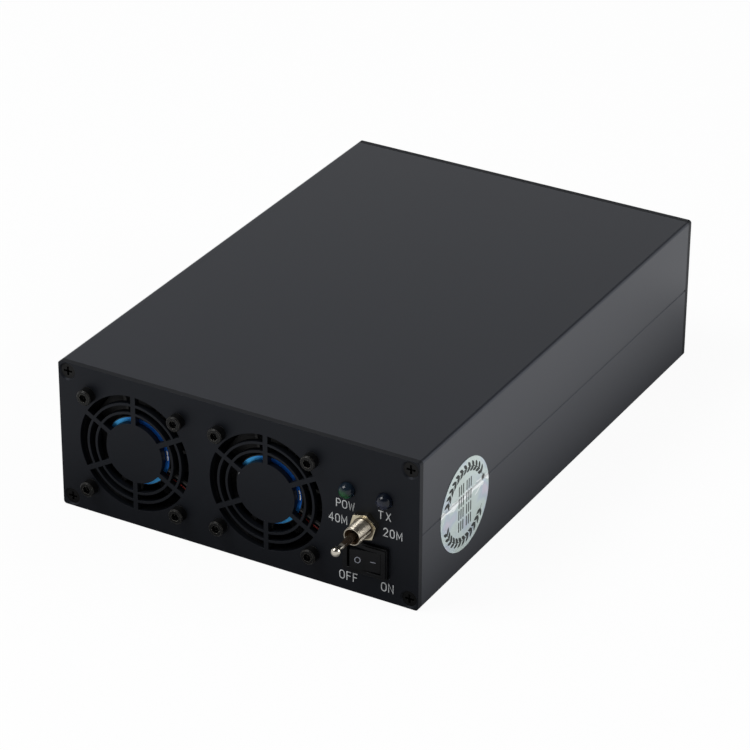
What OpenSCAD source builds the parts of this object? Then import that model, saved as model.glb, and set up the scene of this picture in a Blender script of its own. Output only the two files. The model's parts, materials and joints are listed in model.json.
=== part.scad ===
// Small two-band HF linear amplifier in a black extruded case, with two front fans.
// X runs to the right, Y to the rear and Z up. The origin is the centre of the case's underside.
// Lengths are in millimetres and angles in degrees.

/* [Case] */
// Width of the case
case_w = 125; // [122:1:150]
// Height of the case
case_h = 50; // [49:1:60]
// Length of the two extruded halves
shell_l = 180; // [170:1:220]
// Thickness of the shell walls
wall_t = 2.4; // [2.2:0.1:3]
// Radius of the long outside edges
edge_r = 1; // [0.4:0.1:1.6]
// Thickness of the front and rear panels
panel_t = 2; // [1.6:0.1:2.6]
// Depth of the small chamfer that shows as the seam line
seam_c = 0.35; // [0.1:0.05:0.4]
// Thickness of the tongue that joins the halves
tongue_t = 0.9; // [0.7:0.1:1]
// Height of the tongue
tongue_h = 1.4; // [1:0.1:2]
// Width of the card slots inside the side walls
card_slot_w = 1.8; // [1.6:0.1:2.2]
// Depth of the card slots
card_slot_d = 2; // [1:0.1:2.4]
// Height of the card slots above the outside of their half
card_slot_z = 10; // [8:0.5:16]

/* [Panel screws] */
// Distance of the panel screws from the case's sides
panel_screw_side = 3.2; // [3.2:0.1:4]
// Distance of the panel screws from its top and bottom
panel_screw_edge = 3.1; // [3.1:0.1:4]
// Radius of the countersinks for them
csk_r = 2.95; // [2.5:0.05:3.05]
// How deep the heads lie in the countersinks
csk_sink = 0.5; // [0.1:0.05:0.6]
// Length of a countersunk screw
csk_screw_l = 8; // [6:1:12]

/* [Fans] */
// Side of the square fan frames
fan_s = 40; // [39:0.5:41]
// Thickness of the fans
fan_t = 10; // [10:0.5:12]
// Distance between a fan's screws
fan_pitch = 32; // [31:0.5:33]
// Share of the panel's spare width that lies left of the fans
fan_margin_share = 0.104; // [0.04:0.002:0.14]
// Share of it between the two fans
fan_gap_share = 0.3; // [0.26:0.01:0.38]
// Radius of the fan's duct
duct_r = 19; // [18:0.1:19]
// Radius of the fan's hub
hub_r = 11.5; // [11:0.1:12.5]
// Number of blades
blades = 7; // [5:1:9]
// Thickness of a blade
blade_t = 0.9; // [0.7:0.1:1.2]
// Angle between the blades and the fan's face
blade_angle = 42; // [35:1:50]
// Radius of the fan's shaft
fan_shaft_r = 1; // [0.8:0.1:1.2]
// Direction of the strut that carries the leads, anticlockwise from the right
lead_angle = -26; // [-32:1:-20]

/* [Fan grilles] */
// Outer radius of the grille in the panel
grille_r = 19.5; // [19:0.1:19.6]
// Width of the outer ring of slots
outer_slot_w = 2.6; // [2:0.1:3]
// Width of the middle ring of slots
middle_slot_w = 2.1; // [1.5:0.1:2.5]
// Width of the inner ring of slots
inner_slot_w = 3.2; // [2:0.1:3.5]
// Width of the rings between the slots
ring_w = 0.8; // [0.6:0.1:1.4]
// Width of the spokes
spoke_w = 1.6; // [1.2:0.1:3]
// Radius of the holes for the fan screws
fan_screw_hole_r = 1.65; // [1.6:0.05:1.75]
// Length of the fan screws under the head
fan_screw_l = 16; // [16:1:20]

/* [Controls] */
// Share of the panel's spare width that lies right of the rocker switch
control_margin_share = 0.274; // [0.2:0.002:0.32]
// Height of the lamps above the middle of the panel
lamp_dz = 9.4; // [8.5:0.1:12]
// Distance between the lamps
lamp_gap = 12.6; // [11:0.1:14]
// Radius of a lamp's lens
lamp_r = 2.5; // [2:0.1:2.6]
// How far the lamps stand out of the panel
lamp_out = 3; // [1:0.1:4]
// Height of the toggle switch below the middle of the panel
toggle_dz = 0.5; // [0:0.1:0.6]
// Radius of the toggle switch's bush
bush_r = 3; // [3:0.1:3.4]
// How far the bush stands out of the panel
bush_out = 8.4; // [8:0.1:9]
// Width of the toggle nut across its flats
toggle_nut_w = 8; // [8:0.1:9]
// Thickness of the toggle nut
toggle_nut_t = 2.2; // [1.5:0.1:2.6]
// Distance of the lever's tip centre from the panel
lever_out = 17.6; // [16:0.1:20]
// Radius of the ball at the lever's tip
lever_tip_r = 1.55; // [1.3:0.05:2]
// Swing of the toggle lever to each side
lever_swing = 12; // [8:0.5:12.5]
// How far the rocker switch lies right of the toggle switch
rocker_dx = 0.3; // [0:0.1:0.6]
// Height of the rocker switch below the middle of the panel
rocker_dz = 11.8; // [11.4:0.1:12.2]
// Width of the rocker switch's bezel
bezel_w = 15; // [14.4:0.1:16]
// Height of the rocker switch's bezel
bezel_h = 10.5; // [10:0.1:11]
// How far the bezel stands out of the panel
bezel_out = 1.8; // [1.5:0.1:2.2]
// Tilt of the rocker to each side
rocker_tilt = 12; // [5:0.5:12.5]

/* [Seal] */
// Radius of the round seal on the right side
seal_r = 15; // [10:0.5:16]
// Thickness of the seal
seal_t = 0.12; // [0.08:0.01:0.2]
// Distance of the seal's centre behind the front panel's face
seal_back = 28; // [20:0.5:60]
// Distance of the seal's centre below the seam
seal_dz = 2.8; // [0:0.1:4]

/* [Cooling and board] */
// Room between the front panel and the heatsink
front_bay = 32; // [31:0.5:36]
// Room between the heatsink and the rear panel
rear_bay = 32; // [31:0.5:36]
// Room between the circuit board and the case's top
top_room = 18.6; // [17.6:0.1:22]
// Room on each side of the heatsink, which the supply lead runs through
sink_side_room = 4.1; // [3:0.1:5]
// Thickness of the heatsink's plate
sink_plate_t = 4; // [3.5:0.1:5]
// Number of thin fins
fins = 14; // [8:1:18]
// Thickness of a fin
fin_t = 1.4; // [1:0.1:1.8]
// Height of the board's spacers
spacer_h = 3; // [3:0.1:4]
// Thickness of the circuit board
board_t = 1.6; // [1.4:0.1:2]
// Turns of wire on each filter coil
coil_turns = 11; // [6:1:12]

/* [Rear sockets] */
// Share of the rear panel's spare width beside the input socket
rf_margin_share = 0.218; // [0.12:0.002:0.26]
// Share of it between the aerial sockets
rf_gap_share = 0.24; // [0.14:0.01:0.3]
// Outer radius of the aerial sockets' thread
rf_thread_r = 7.9; // [7.5:0.1:8]
// Radius of the bore in the aerial sockets' contacts
rf_contact_bore_r = 2; // [1.9:0.05:2.1]
// Side of the aerial sockets' square flange
rf_flange_s = 25.4; // [24:0.1:26]
// Distance between the flange's screws
rf_screw_pitch = 18.2; // [17.6:0.1:18.6]
// Share of the rear panel's spare width beside the supply inlet
dc_margin_share = 0.26; // [0.22:0.01:0.3]
// Height of the supply inlet below the middle of the panel
dc_dz = 8.5; // [8:0.5:10]
// Outer radius of the supply inlet's thread
dc_thread_r = 7.6; // [7:0.1:8]
// How far the key jack lies to the outside of the supply inlet
ptt_dx = 4; // [2:0.5:5]
// Height of the key jack above the middle of the panel
ptt_dz = 11; // [10.5:0.5:12]
// Radius of the key jack's bore
ptt_bore_r = 1.8; // [1.7:0.05:1.9]
// Number of cooling slots in the rear panel
vents = 5; // [3:1:5]
// Width of the field of cooling slots
vents_w = 20; // [18:0.5:22]
// Width of a cooling slot
vent_w = 2.4; // [2:0.1:3]
// Height of a cooling slot
vent_h = 26; // [16:1:30]

/* [Hidden] */
$fn = 48;
EPS = 0.01;
// Clearances: between fixed pieces, in threads, round a turning shaft and between moving pieces
fit_c = 0.05;
hole_c = 0.1;
run_c = 0.04;
move_c = 0.5;
// Thread sizes: an M3 screw, its tapped hole and the clearance hole for it
m3_r = 1.5;
tap_r = 1.3;
core_r = tap_r - fit_c;
clear_r = 1.65;
pan_head_r = 2.75;
pan_head_h = 2;
cap_head_r = 2.5;
cap_head_h = 3;
cap_head_c = 0.35;
cap_socket_z = 1.4;
cap_socket_w = 2.5;
m3_nut_w = 5.5;
m3_nut_t = 2.4;

// Planes of the case
front_y = -shell_l / 2;
face_y = front_y - panel_t;
rear_y = shell_l / 2;
back_y = rear_y + panel_t;
mid_z = case_h / 2;
inner_w = case_w - 2 * wall_t;
clear_w = inner_w - 2 * card_slot_d;
boss_r = tap_r + 1.5;
boss_slot_w = 1;
rib_t = 1.2;
tongue_gap = 0.1;

// Panel screws
panel_screw_x = case_w / 2 - panel_screw_side;
csk_head_r = csk_r - csk_sink;
csk_neck_r = 1.55;
csk_depth = csk_head_r - csk_neck_r;

// Width that the fans and the rocker switch leave free between the card slots, and its shares
front_spare = clear_w - 2 * fan_s - bezel_w;
fan_gap = fan_gap_share * front_spare;
left_fan_x = fan_margin_share * front_spare + (fan_s - clear_w) / 2;
fan_x = [left_fan_x, left_fan_x + fan_s + fan_gap];

// Fans, from the panel's back face inwards
flange_t = 2.4;
fan_corner_r = 3.2;
fan_recess = 0.3;
stator_t = 1.7;
strut_w = 1.8;
lead_r = 0.55;
lead_gap = 1.5;
lead_channel_r = lead_r + hole_c;
lead_lane = min(fan_gap, 3.2);
label_r = hub_r - 0.3;
label_t = 0.15;
rotor_z = fan_recess + stator_t + move_c;
rotor_end = fan_t - move_c;
cup_t = 1.2;
cup_chamfer = 0.8;
shaft_cap_t = 0.35;
magnet_t = 1.4;
magnet_r = hub_r - cup_t - fit_c;
bearing_r = fan_shaft_r + 1;
tube_r = bearing_r + fit_c + 1;
tube_end = rotor_end - cup_t - 2 * move_c;
pole_r = magnet_r - magnet_t - move_c;
core_t = 3;
core_ring_r = tube_r + 1.3;
shoe_t = 0.9;
motor_coil_w = 3.6;
core_z = (rotor_z + tube_end - core_t) / 2;
blade_r = duct_r - move_c;

// Controls
controls_x = (clear_w - bezel_w) / 2 - control_margin_share * front_spare;
lamp_x = [controls_x - lamp_gap / 2, controls_x + lamp_gap / 2];
lamp_z = mid_z + lamp_dz;
lamp_l = 8.6;
lamp_rim_t = 1;
lamp_leg_w = 0.5;
lamp_leg_gap = 2.54;
lamp_leg_l = 12;
toggle_z = mid_z - toggle_dz;
toggle_body_w = 13.2;
toggle_body_h = 7.9;
toggle_body_l = 9.6;
lever_r = 1.25;
lever_ball_r = 1.9;
lever_pivot = 3.5;
lever_mouth_r = (bush_out - lever_pivot) * tan(lever_swing) + lever_r / cos(lever_swing) + 0.18;
lever_neck_r = lever_r + 0.35;
lever_shoulder = sqrt(pow(lever_ball_r, 2) - pow(lever_neck_r - hole_c, 2));
tag_gap = 4.7;
tag_l = 4.5;
tag_w = 2;
tag_t = 0.8;
rocker_x = controls_x + rocker_dx;
rocker_z = mid_z - rocker_dz;
rocker_body_w = bezel_w - 1.8;
rocker_body_h = bezel_h - 1.9;
rocker_body_l = 12;
paddle_l = bezel_w - 4.8;
paddle_h = bezel_h - 3.7;
paddle_pivot = -1;
paddle_rise = 2.4;
paddle_dish = 0.5;
paddle_gap = 0.3;
paddle_well = 7;
paddle_pin_r = 0.74;
paddle_pin_l = 0.9;
paddle_keel_r = 1.6;
rocker_tag_gap = 6.8;
rocker_tag_l = 7;
rocker_tag_w = 4.8;

// Heatsink and board
sink_w = clear_w - 2 * sink_side_room;
sink_y0 = front_y + front_bay;
sink_y1 = rear_y - rear_bay;
board_top = case_h - wall_t - top_room;
sink_top = board_top - board_t - spacer_h;
sink_h = sink_top - wall_t;
side_fin_t = 4;
board_w = sink_w - 2;
board_l = sink_y1 - sink_y0;
sink_screw_x = sink_w / 2 - side_fin_t / 2;
sink_screw_y = 13;
board_screw_x = sink_w / 2 - 5;
board_screw_y = [sink_y0 + 22, sink_y1 - 18];
board_screw_l = 8;
tap_depth = sink_plate_t - 0.4;
transistor_x = [-13, 13];
transistor_y = sink_y0 + 0.362 * board_l;
transistor_tab_t = 1.3;
transistor_hole_y = 13;
ferrite_in_y = sink_y0 + 0.172 * board_l;
ferrite_in_h = 8;
tube_core_r = 7;
tube_bore_r = 3.6;
tube_core_l = 26;
tube_gap = 14.6;
ferrite_out_y = sink_y0 + 0.569 * board_l;
end_plate_t = 1.6;
filter_x = [9 - board_w / 2, 24 - board_w / 2];
filter_mid_y = sink_y0 + 0.575 * board_l;
filter_y = [filter_mid_y - 9, filter_mid_y + 9];
coil_outer_r = 6.35;
coil_inner_r = 3.85;
coil_core_h = 4.8;
coil_chamfer = 0.7;
coil_stand = 0.5;
coil_wire_r = 0.35;
coil_open_angle = 30;
relay_x = 19 - board_w / 2;
relay_y = sink_y0 + 0.13 * board_l;
relay_pitch = 17;
relay_w = 10.4;
relay_l = 15.6;
relay_h = 11;
capacitor_x = board_w / 2 - 21;
capacitor_r = 5;
capacitor_h = 15.8;
capacitor_y = [sink_y1 - 34, sink_y1 - 18];

// Leads
signal_lead_r = 0.5;
pad_edge = 1.2;
pad_pitch = 2.2;
lamp_lead_x = [for (x = lamp_x, s = [-1, 1]) x + s * lamp_leg_gap / 2];
supply_lead_r = 1.1;
coax_r = 1.3;

// Rear sockets, measured outwards from the rear panel's outer face
rf_flange_t = 2.4;
rf_out = 13.4;
rf_mouth_r = 6.3;
rf_barrel_r = 6;
rf_insulator_r = 4.5;
rf_contact_r = rf_contact_bore_r + 0.5;
rf_contact_end = -8;
rf_bore_l = 10;
dc_z = mid_z - dc_dz;
dc_out = 8.5;
dc_flange_t = 2;
dc_flange_r = dc_thread_r + 1.6;
dc_mouth_r = dc_thread_r - 1.1;
dc_pin_gap = 5.6;
dc_pin_r = 1.15;
dc_pin_end = -9;
dc_insert_r = dc_mouth_r - 0.6;
dc_floor = 1;
dc_nut_t = 2.5;
ptt_z = mid_z + ptt_dz;
ptt_bush_r = 3;
ptt_out = 4.2;
ptt_body_l = 11;
vent_pitch = (vents_w - vent_w) / (vents - 1);

// Width that the sockets, the inlet and the slots leave free in the rear panel, and its shares
rear_spare = case_w - 2 * rf_flange_s - vents_w - 2 * dc_flange_r;
input_x = rf_margin_share * rear_spare + (rf_flange_s - case_w) / 2;
rf_x = [input_x, input_x + rf_flange_s + rf_gap_share * rear_spare];
dc_x = case_w / 2 - dc_margin_share * rear_spare - dc_flange_r;
ptt_x = dc_x + ptt_dx;
vents_x = (rf_x[1] + rf_flange_s / 2 + dc_x - dc_flange_r) / 2;
rf_mid_x = (rf_x[0] + rf_x[1]) / 2;
relay_places = [
    [relay_x, relay_y], [relay_x, relay_y + relay_pitch], [rf_mid_x - 7.4, sink_y1 - 16],
    [rf_mid_x + 4.9, sink_y1 - 10]
];

// ---------------------------------------------------------------- places

// Local Z points out of the front panel's face, local X to the right and local Y up.
module on_front(x, z) {
    translate([x, face_y, z]) rotate([90, 0, 0]) children();
}

// Local Z points out of the rear panel's face, local Y up.
module on_rear(x, z) {
    translate([x, back_y, z]) rotate([90, 0, 180]) children();
}

// Local Z points from the front panel's back face into the fan. Seen from the front,
// local X is to the right and local angles run clockwise.
module in_fan(i) {
    translate([fan_x[i], front_y, mid_z]) rotate([-90, 0, 0]) children();
}

module at_fan_screws() {
    for (x = [-1, 1], y = [-1, 1]) translate([x * fan_pitch / 2, y * fan_pitch / 2, 0]) children();
}

module at_panel_screws() {
    for (x = [-1, 1], z = [panel_screw_edge, case_h - panel_screw_edge]) {
        on_front(x * panel_screw_x, z) children();
        on_rear(x * panel_screw_x, z) children();
    }
}

module at_board_screws(z) {
    for (x = [-1, 1], y = board_screw_y) translate([x * board_screw_x, y, z]) children();
}

module at_sink_screws() {
    for (x = [-1, 1], y = [sink_y0 + sink_screw_y, sink_y1 - sink_screw_y])
        translate([x * sink_screw_x, y, 0]) children();
}

// ---------------------------------------------------------------- shared shapes

module rounded_rect(w, h, r) {
    square([w - 2 * r, h], center = true);
    square([w, h - 2 * r], center = true);
    for (x = [-1, 1], y = [-1, 1]) translate([x * (w / 2 - r), y * (h / 2 - r)]) circle(r = r);
}

module ring(outer_r, inner_r, h) {
    difference() {
        cylinder(r = outer_r, h = h);
        translate([0, 0, -EPS]) cylinder(r = inner_r, h = h + 2 * EPS);
    }
}

// Hexagon prism with its width across the flats
module hexagon(width, h) {
    cylinder(r = width / 2 / cos(30), h = h, $fn = 6);
}

// Countersunk screw with a cross recess, its head at Z = 0 and its shank below
module countersunk_screw(l) {
    difference() {
        rotate_extrude() polygon([
            [0, 0], [csk_head_r, 0], [csk_neck_r, -csk_depth], [core_r, -csk_depth], [core_r, 0.5 - l],
            [core_r - 0.5, -l], [0, -l]
        ]);
        for (a = [0, 90]) rotate(a) cube([3, 0.7, 2], center = true);
    }
}

// Hole for that screw, sunk a little deeper than its head
module countersunk_hole(shank_r, l) {
    translate([0, 0, -l]) cylinder(r = shank_r, h = l + EPS);
    translate([0, 0, shank_r - csk_r]) cylinder(r1 = shank_r, r2 = csk_r, h = csk_r - shank_r);
    cylinder(r = csk_r, h = EPS);
}

// Pan-head screw that stands on Z = 0, with its shank below
module pan_screw(l) {
    difference() {
        union() {
            intersection() {
                cylinder(r = pan_head_r, h = pan_head_h);
                translate([0, 0, pan_head_h - 3.6]) sphere(r = 3.6);
            }
            translate([0, 0, -l]) cylinder(r = core_r, h = l + EPS);
        }
        for (a = [0, 90]) rotate(a) translate([0, 0, pan_head_h]) cube([3, 0.7, 2.2], center = true);
    }
}

// ---------------------------------------------------------------- leads

function unit(v) = v / norm(v);

function spline(a, b, c, d, t) =
    0.5 * (2 * b + (c - a) * t + (2 * a - 5 * b + 4 * c - d) * t * t + (3 * b - a - 3 * c + d) * t * t * t);

// Smooth path through the route's points, with a number of steps between each two. Its
// first and last stretches are straight, so that its ends are square to what they meet.
function smooth(route, steps) = let (last = len(route) - 1) concat(
    [route[0]],
    [for (i = [1 : last - 2], k = [0 : steps - 1])
        spline(route[i - 1], route[i], route[i + 1], route[i + 2], k / steps)],
    [route[last - 1], route[last]]
);

// Direction of the path at each of its points
function headings(path) = let (last = len(path) - 1)
    [for (i = [0 : last]) unit(path[min(i + 1, last)] - path[max(i - 1, 0)])];

function square_to(v, heading) = unit(v - (v * heading) * heading);

// A side vector at each point that turns as little as possible along the path
function sides(heads) = let (last = len(heads) - 1, start = abs(heads[0].z) < 0.9 ? [0, 0, 1] : [1, 0, 0])
    [for (i = 0, s = square_to(start, heads[0]); i <= last;
        i = i + 1, s = square_to(s, heads[min(i, last)])) s];

// Round wire along a path, as one closed tube
module wire(path, r, facets = 8) {
    heads = headings(path);
    across = sides(heads);
    n = len(path);
    points = [for (i = [0 : n - 1], k = [0 : facets - 1]) let (a = 360 * k / facets)
        path[i] + r * (cos(a) * across[i] + sin(a) * cross(heads[i], across[i]))];
    walls = [for (i = [0 : n - 2], k = [0 : facets - 1]) let (
            a = i * facets + k,
            b = i * facets + (k + 1) % facets)
        each [[a, a + facets, b], [b, a + facets, b + facets]]];
    caps = [for (k = [1 : facets - 2]) each [
        [0, k, k + 1],
        [(n - 1) * facets, (n - 1) * facets + k + 1, (n - 1) * facets + k]]];
    polyhedron(points = points, faces = concat(walls, caps));
}

module lead(route, r, steps = 4) {
    wire(smooth(route, steps), r);
}

// ---------------------------------------------------------------- case

// Section of one extruded half. Both halves are cut from the same bar: the tongue on the
// left of one fits the groove on the right of the other when that is turned over.
module half_section() {
    wall_mid = case_w / 2 - wall_t / 2;
    difference() {
        union() {
            difference() {
                intersection() {
                    translate([0, mid_z]) rounded_rect(case_w, case_h, edge_r);
                    translate([-case_w / 2, 0]) square([case_w, mid_z]);
                }
                translate([-inner_w / 2, wall_t]) square([inner_w, case_h]);
            }
            for (x = [-1, 1]) {
                translate([x * panel_screw_x, panel_screw_edge]) circle(r = boss_r);
                for (s = [-1, 1])
                    translate([x * (inner_w / 2 - card_slot_d / 2),
                            card_slot_z + s * (card_slot_w + rib_t) / 2])
                        square([card_slot_d + 2 * EPS, rib_t], center = true);
            }
            translate([-wall_mid - tongue_t / 2, mid_z - 1]) square([tongue_t, tongue_h + 1]);
        }
        translate([wall_mid - tongue_t / 2 - tongue_gap, mid_z - tongue_h - 2 * tongue_gap])
            square([tongue_t + 2 * tongue_gap, tongue_h + 1]);
        for (x = [-1, 1]) {
            translate([x * panel_screw_x, panel_screw_edge]) circle(r = tap_r);
            translate([x * panel_screw_x, panel_screw_edge]) rotate(90 + x * 45)
                translate([0, -boss_slot_w / 2]) square([2 * boss_r, boss_slot_w]);
            polygon([
                [x * case_w / 2, mid_z], [x * (case_w / 2 - seam_c), mid_z], [x * case_w / 2, mid_z - seam_c]
            ]);
        }
    }
}

module half_bar() {
    rotate([90, 0, 0]) linear_extrude(shell_l, center = true) half_section();
}

module lower_shell() color([0.10, 0.10, 0.11]) difference() {
    half_bar();
    at_sink_screws() rotate([180, 0, 0]) countersunk_hole(clear_r, wall_t + EPS);
}

module upper_shell() color([0.11, 0.11, 0.12]) translate([0, 0, case_h]) rotate([0, 180, 0]) half_bar();

module panel_blank() {
    linear_extrude(panel_t) rounded_rect(case_w, case_h, edge_r);
}

// Slots of one fan grille: three rings of slots, cut into six by the spokes
module grille_slots() {
    middle_r = grille_r - outer_slot_w - ring_w;
    inner_r = middle_r - middle_slot_w - ring_w;
    difference() {
        for (slot = [[grille_r, outer_slot_w], [middle_r, middle_slot_w], [inner_r, inner_slot_w]])
            difference() {
                circle(r = slot[0]);
                circle(r = slot[0] - slot[1]);
            }
        for (a = [30, 90, 150]) rotate(a) square([2 * grille_r + 1, spoke_w], center = true);
    }
}

module front_panel() color([0.08, 0.08, 0.09]) difference() {
    on_front(0, mid_z) translate([0, 0, -panel_t]) panel_blank();
    for (i = [0, 1]) on_front(fan_x[i], mid_z) {
        translate([0, 0, -panel_t - 1]) linear_extrude(panel_t + 2) grille_slots();
        at_fan_screws() translate([0, 0, -panel_t - 1]) cylinder(r = fan_screw_hole_r, h = panel_t + 2);
    }
    for (x = lamp_x) on_front(x, lamp_z) translate([0, 0, -panel_t - 1])
        cylinder(r = lamp_r + fit_c, h = panel_t + 2);
    on_front(controls_x, toggle_z) translate([0, 0, -panel_t - 1])
        cylinder(r = bush_r + hole_c, h = panel_t + 2);
    on_front(rocker_x, rocker_z) translate([0, 0, -panel_t / 2])
        cube([rocker_body_w + 2 * hole_c, rocker_body_h + 2 * hole_c, panel_t + 2], center = true);
    at_panel_screws() countersunk_hole(clear_r, panel_t + 1);
}

module rear_panel() color([0.08, 0.08, 0.09]) difference() {
    on_rear(0, mid_z) translate([0, 0, -panel_t]) panel_blank();
    for (x = rf_x) on_rear(x, mid_z) {
        translate([0, 0, -panel_t - 1]) cylinder(r = rf_barrel_r + hole_c, h = panel_t + 2);
        at_rf_screws() translate([0, 0, -panel_t - 1]) cylinder(r = tap_r, h = panel_t + 2);
    }
    on_rear(dc_x, dc_z) translate([0, 0, -panel_t - 1])
        cylinder(r = dc_thread_r + hole_c, h = panel_t + 2);
    on_rear(ptt_x, ptt_z) translate([0, 0, -panel_t - 1])
        cylinder(r = ptt_bush_r + hole_c, h = panel_t + 2);
    for (k = [0 : vents - 1]) on_rear(vents_x + k * vent_pitch - (vents_w - vent_w) / 2, mid_z)
        translate([0, 0, -panel_t - 1]) linear_extrude(panel_t + 2)
            rounded_rect(vent_w, vent_h, vent_w / 2 - EPS);
    at_panel_screws() countersunk_hole(clear_r, panel_t + 1);
}

module panel_screws() color([0.12, 0.12, 0.13])
    at_panel_screws() translate([0, 0, -csk_sink]) countersunk_screw(csk_screw_l);

module seal_sticker() color([0.80, 0.83, 0.84])
    translate([case_w / 2, face_y + seal_back, mid_z - seal_dz]) rotate([0, 90, 0])
        cylinder(r = seal_r, h = seal_t);

// ---------------------------------------------------------------- fans

// One strut between the hub plate and the duct, with local X along it
module strut(w) {
    translate([hub_r - 1, -w / 2, fan_recess]) cube([duct_r - hub_r + 1.4, w, stator_t]);
}

// Channels for the two leads, open to the front, from under the label to the frame's side
module lead_channels() {
    floor_z = fan_recess + lead_channel_r;
    rotate(-lead_angle) for (s = [-1, 1])
        translate([hub_r - 4, s * lead_gap / 2, floor_z]) rotate([0, 90, 0]) {
            cylinder(r = lead_channel_r, h = fan_s);
            translate([0, -lead_channel_r, 0]) cube([floor_z + 1, 2 * lead_channel_r, fan_s]);
        }
}

module fan_frame() {
    difference() {
        union() {
            for (z = [0, fan_t - flange_t]) translate([0, 0, z]) linear_extrude(flange_t)
                rounded_rect(fan_s, fan_s, fan_corner_r);
            cylinder(r = fan_s / 2 - 0.1, h = fan_t);
            at_fan_screws() cylinder(r = m3_r + 1.4, h = fan_t);
        }
        translate([0, 0, -1]) cylinder(r = duct_r, h = fan_t + 2);
        for (z = [-EPS, fan_t - 1.2 + EPS]) translate([0, 0, z])
            cylinder(r1 = z < 0 ? duct_r + 0.5 : duct_r, r2 = z < 0 ? duct_r : duct_r + 0.5, h = 1.2);
        at_fan_screws() translate([0, 0, -1]) cylinder(r = clear_r, h = fan_t + 2);
        rotate(-lead_angle) translate([duct_r - 1, -lead_gap / 2 - lead_channel_r, -1])
            cube([fan_s, lead_gap + 2 * lead_channel_r, 1 + flange_t]);
    }
    difference() {
        union() {
            translate([0, 0, fan_recess]) cylinder(r = hub_r, h = stator_t);
            for (k = [1 : 3]) rotate(-lead_angle + 90 * k) strut(strut_w);
            rotate(-lead_angle) strut(lead_gap + 4 * lead_channel_r);
            translate([0, 0, fan_recess]) cylinder(r = tube_r, h = tube_end - fan_recess);
        }
        translate([0, 0, -EPS]) cylinder(r = bearing_r + fit_c, h = tube_end + 1);
        lead_channels();
    }
}

module fan_left_frame() color([0.07, 0.07, 0.08]) in_fan(0) fan_frame();

module fan_right_frame() color([0.07, 0.07, 0.08]) in_fan(1) fan_frame();

module fan_labels() color([0.05, 0.35, 0.75]) for (i = [0, 1]) in_fan(i)
    translate([0, 0, fan_recess - label_t]) cylinder(r = label_r, h = label_t);

module fan_bearings() color([0.72, 0.55, 0.25]) for (i = [0, 1]) in_fan(i)
    translate([0, 0, fan_recess + 1]) ring(bearing_r, fan_shaft_r + run_c, tube_end - fan_recess - 1.2);

// Four-pole core of the motor, stamped from sheet
module fan_stators() color([0.55, 0.56, 0.58]) for (i = [0, 1]) in_fan(i)
    translate([0, 0, core_z]) linear_extrude(core_t) difference() {
        union() {
            circle(r = core_ring_r);
            for (a = [0, 90]) rotate(a) square([2 * pole_r - 1, 1.6], center = true);
            intersection() {
                difference() {
                    circle(r = pole_r);
                    circle(r = pole_r - shoe_t);
                }
                for (a = [0 : 90 : 270]) rotate(a)
                    polygon([[0, 0], [2 * pole_r, -pole_r], [2 * pole_r, pole_r]]);
            }
        }
        circle(r = tube_r + fit_c);
    }

module fan_coils() color([0.70, 0.35, 0.15]) for (i = [0, 1]) in_fan(i)
    for (a = [0 : 90 : 270]) rotate(a) {
        start = core_ring_r + hole_c;
        end = sqrt(pow(pole_r - shoe_t, 2) - pow(motor_coil_w / 2, 2)) - hole_c;
        translate([start, 0, core_z + core_t / 2]) rotate([90, 0, 90])
            linear_extrude(end - start) difference() {
                rounded_rect(motor_coil_w, core_t + 1.6, 0.8);
                square([1.6 + 2 * fit_c, core_t + 2 * fit_c], center = true);
            }
    }

// Hub cup and swept blades. Each blade is a thin arc, pitched across the air's way, that
// runs out from the hub and is trimmed to the duct.
module fan_impeller() {
    depth = rotor_end - rotor_z;
    arc_r = 11;
    difference() {
        union() {
            rotate_extrude() polygon([
                [0, rotor_z], [hub_r, rotor_z], [hub_r, rotor_end - cup_chamfer],
                [hub_r - cup_chamfer, rotor_end], [0, rotor_end]
            ]);
            intersection() {
                translate([0, 0, rotor_z + 0.3]) ring(blade_r, hub_r - 0.7, depth - 0.6);
                for (k = [0 : blades - 1]) rotate(360 * k / blades)
                    translate([0, 0, rotor_z + depth / 2]) rotate([90, 0, 90]) rotate(blade_angle)
                        linear_extrude(blade_r + 1) difference() {
                            intersection() {
                                translate([0, -arc_r]) circle(r = arc_r + blade_t / 2);
                                square([15, 8], center = true);
                            }
                            translate([0, -arc_r]) circle(r = arc_r - blade_t / 2);
                        }
            }
        }
        translate([0, 0, rotor_z - 1]) difference() {
            cylinder(r = hub_r - cup_t, h = depth - cup_t + 1);
            translate([0, 0, tube_end + move_c - rotor_z + 1]) cylinder(r = tube_r, h = depth);
        }
        translate([0, 0, rotor_z - 2])
            cylinder(r = fan_shaft_r + fit_c / 2, h = rotor_end - shaft_cap_t + fit_c - rotor_z + 2);
    }
}

module fan_left_impeller() color([0.06, 0.06, 0.07]) in_fan(0) fan_impeller();

module fan_right_impeller() color([0.06, 0.06, 0.07]) in_fan(1) fan_impeller();

module fan_magnet() {
    translate([0, 0, rotor_z + 0.4]) ring(magnet_r, magnet_r - magnet_t, rotor_end - cup_t - rotor_z - 1);
}

module fan_left_magnet() color([0.25, 0.22, 0.20]) in_fan(0) fan_magnet();

module fan_right_magnet() color([0.25, 0.22, 0.20]) in_fan(1) fan_magnet();

module fan_shaft() {
    start = fan_recess + move_c;
    translate([0, 0, start]) cylinder(r = fan_shaft_r, h = rotor_end - shaft_cap_t - start);
}

module fan_left_shaft() color([0.75, 0.76, 0.78]) in_fan(0) fan_shaft();

module fan_right_shaft() color([0.75, 0.76, 0.78]) in_fan(1) fan_shaft();

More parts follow.
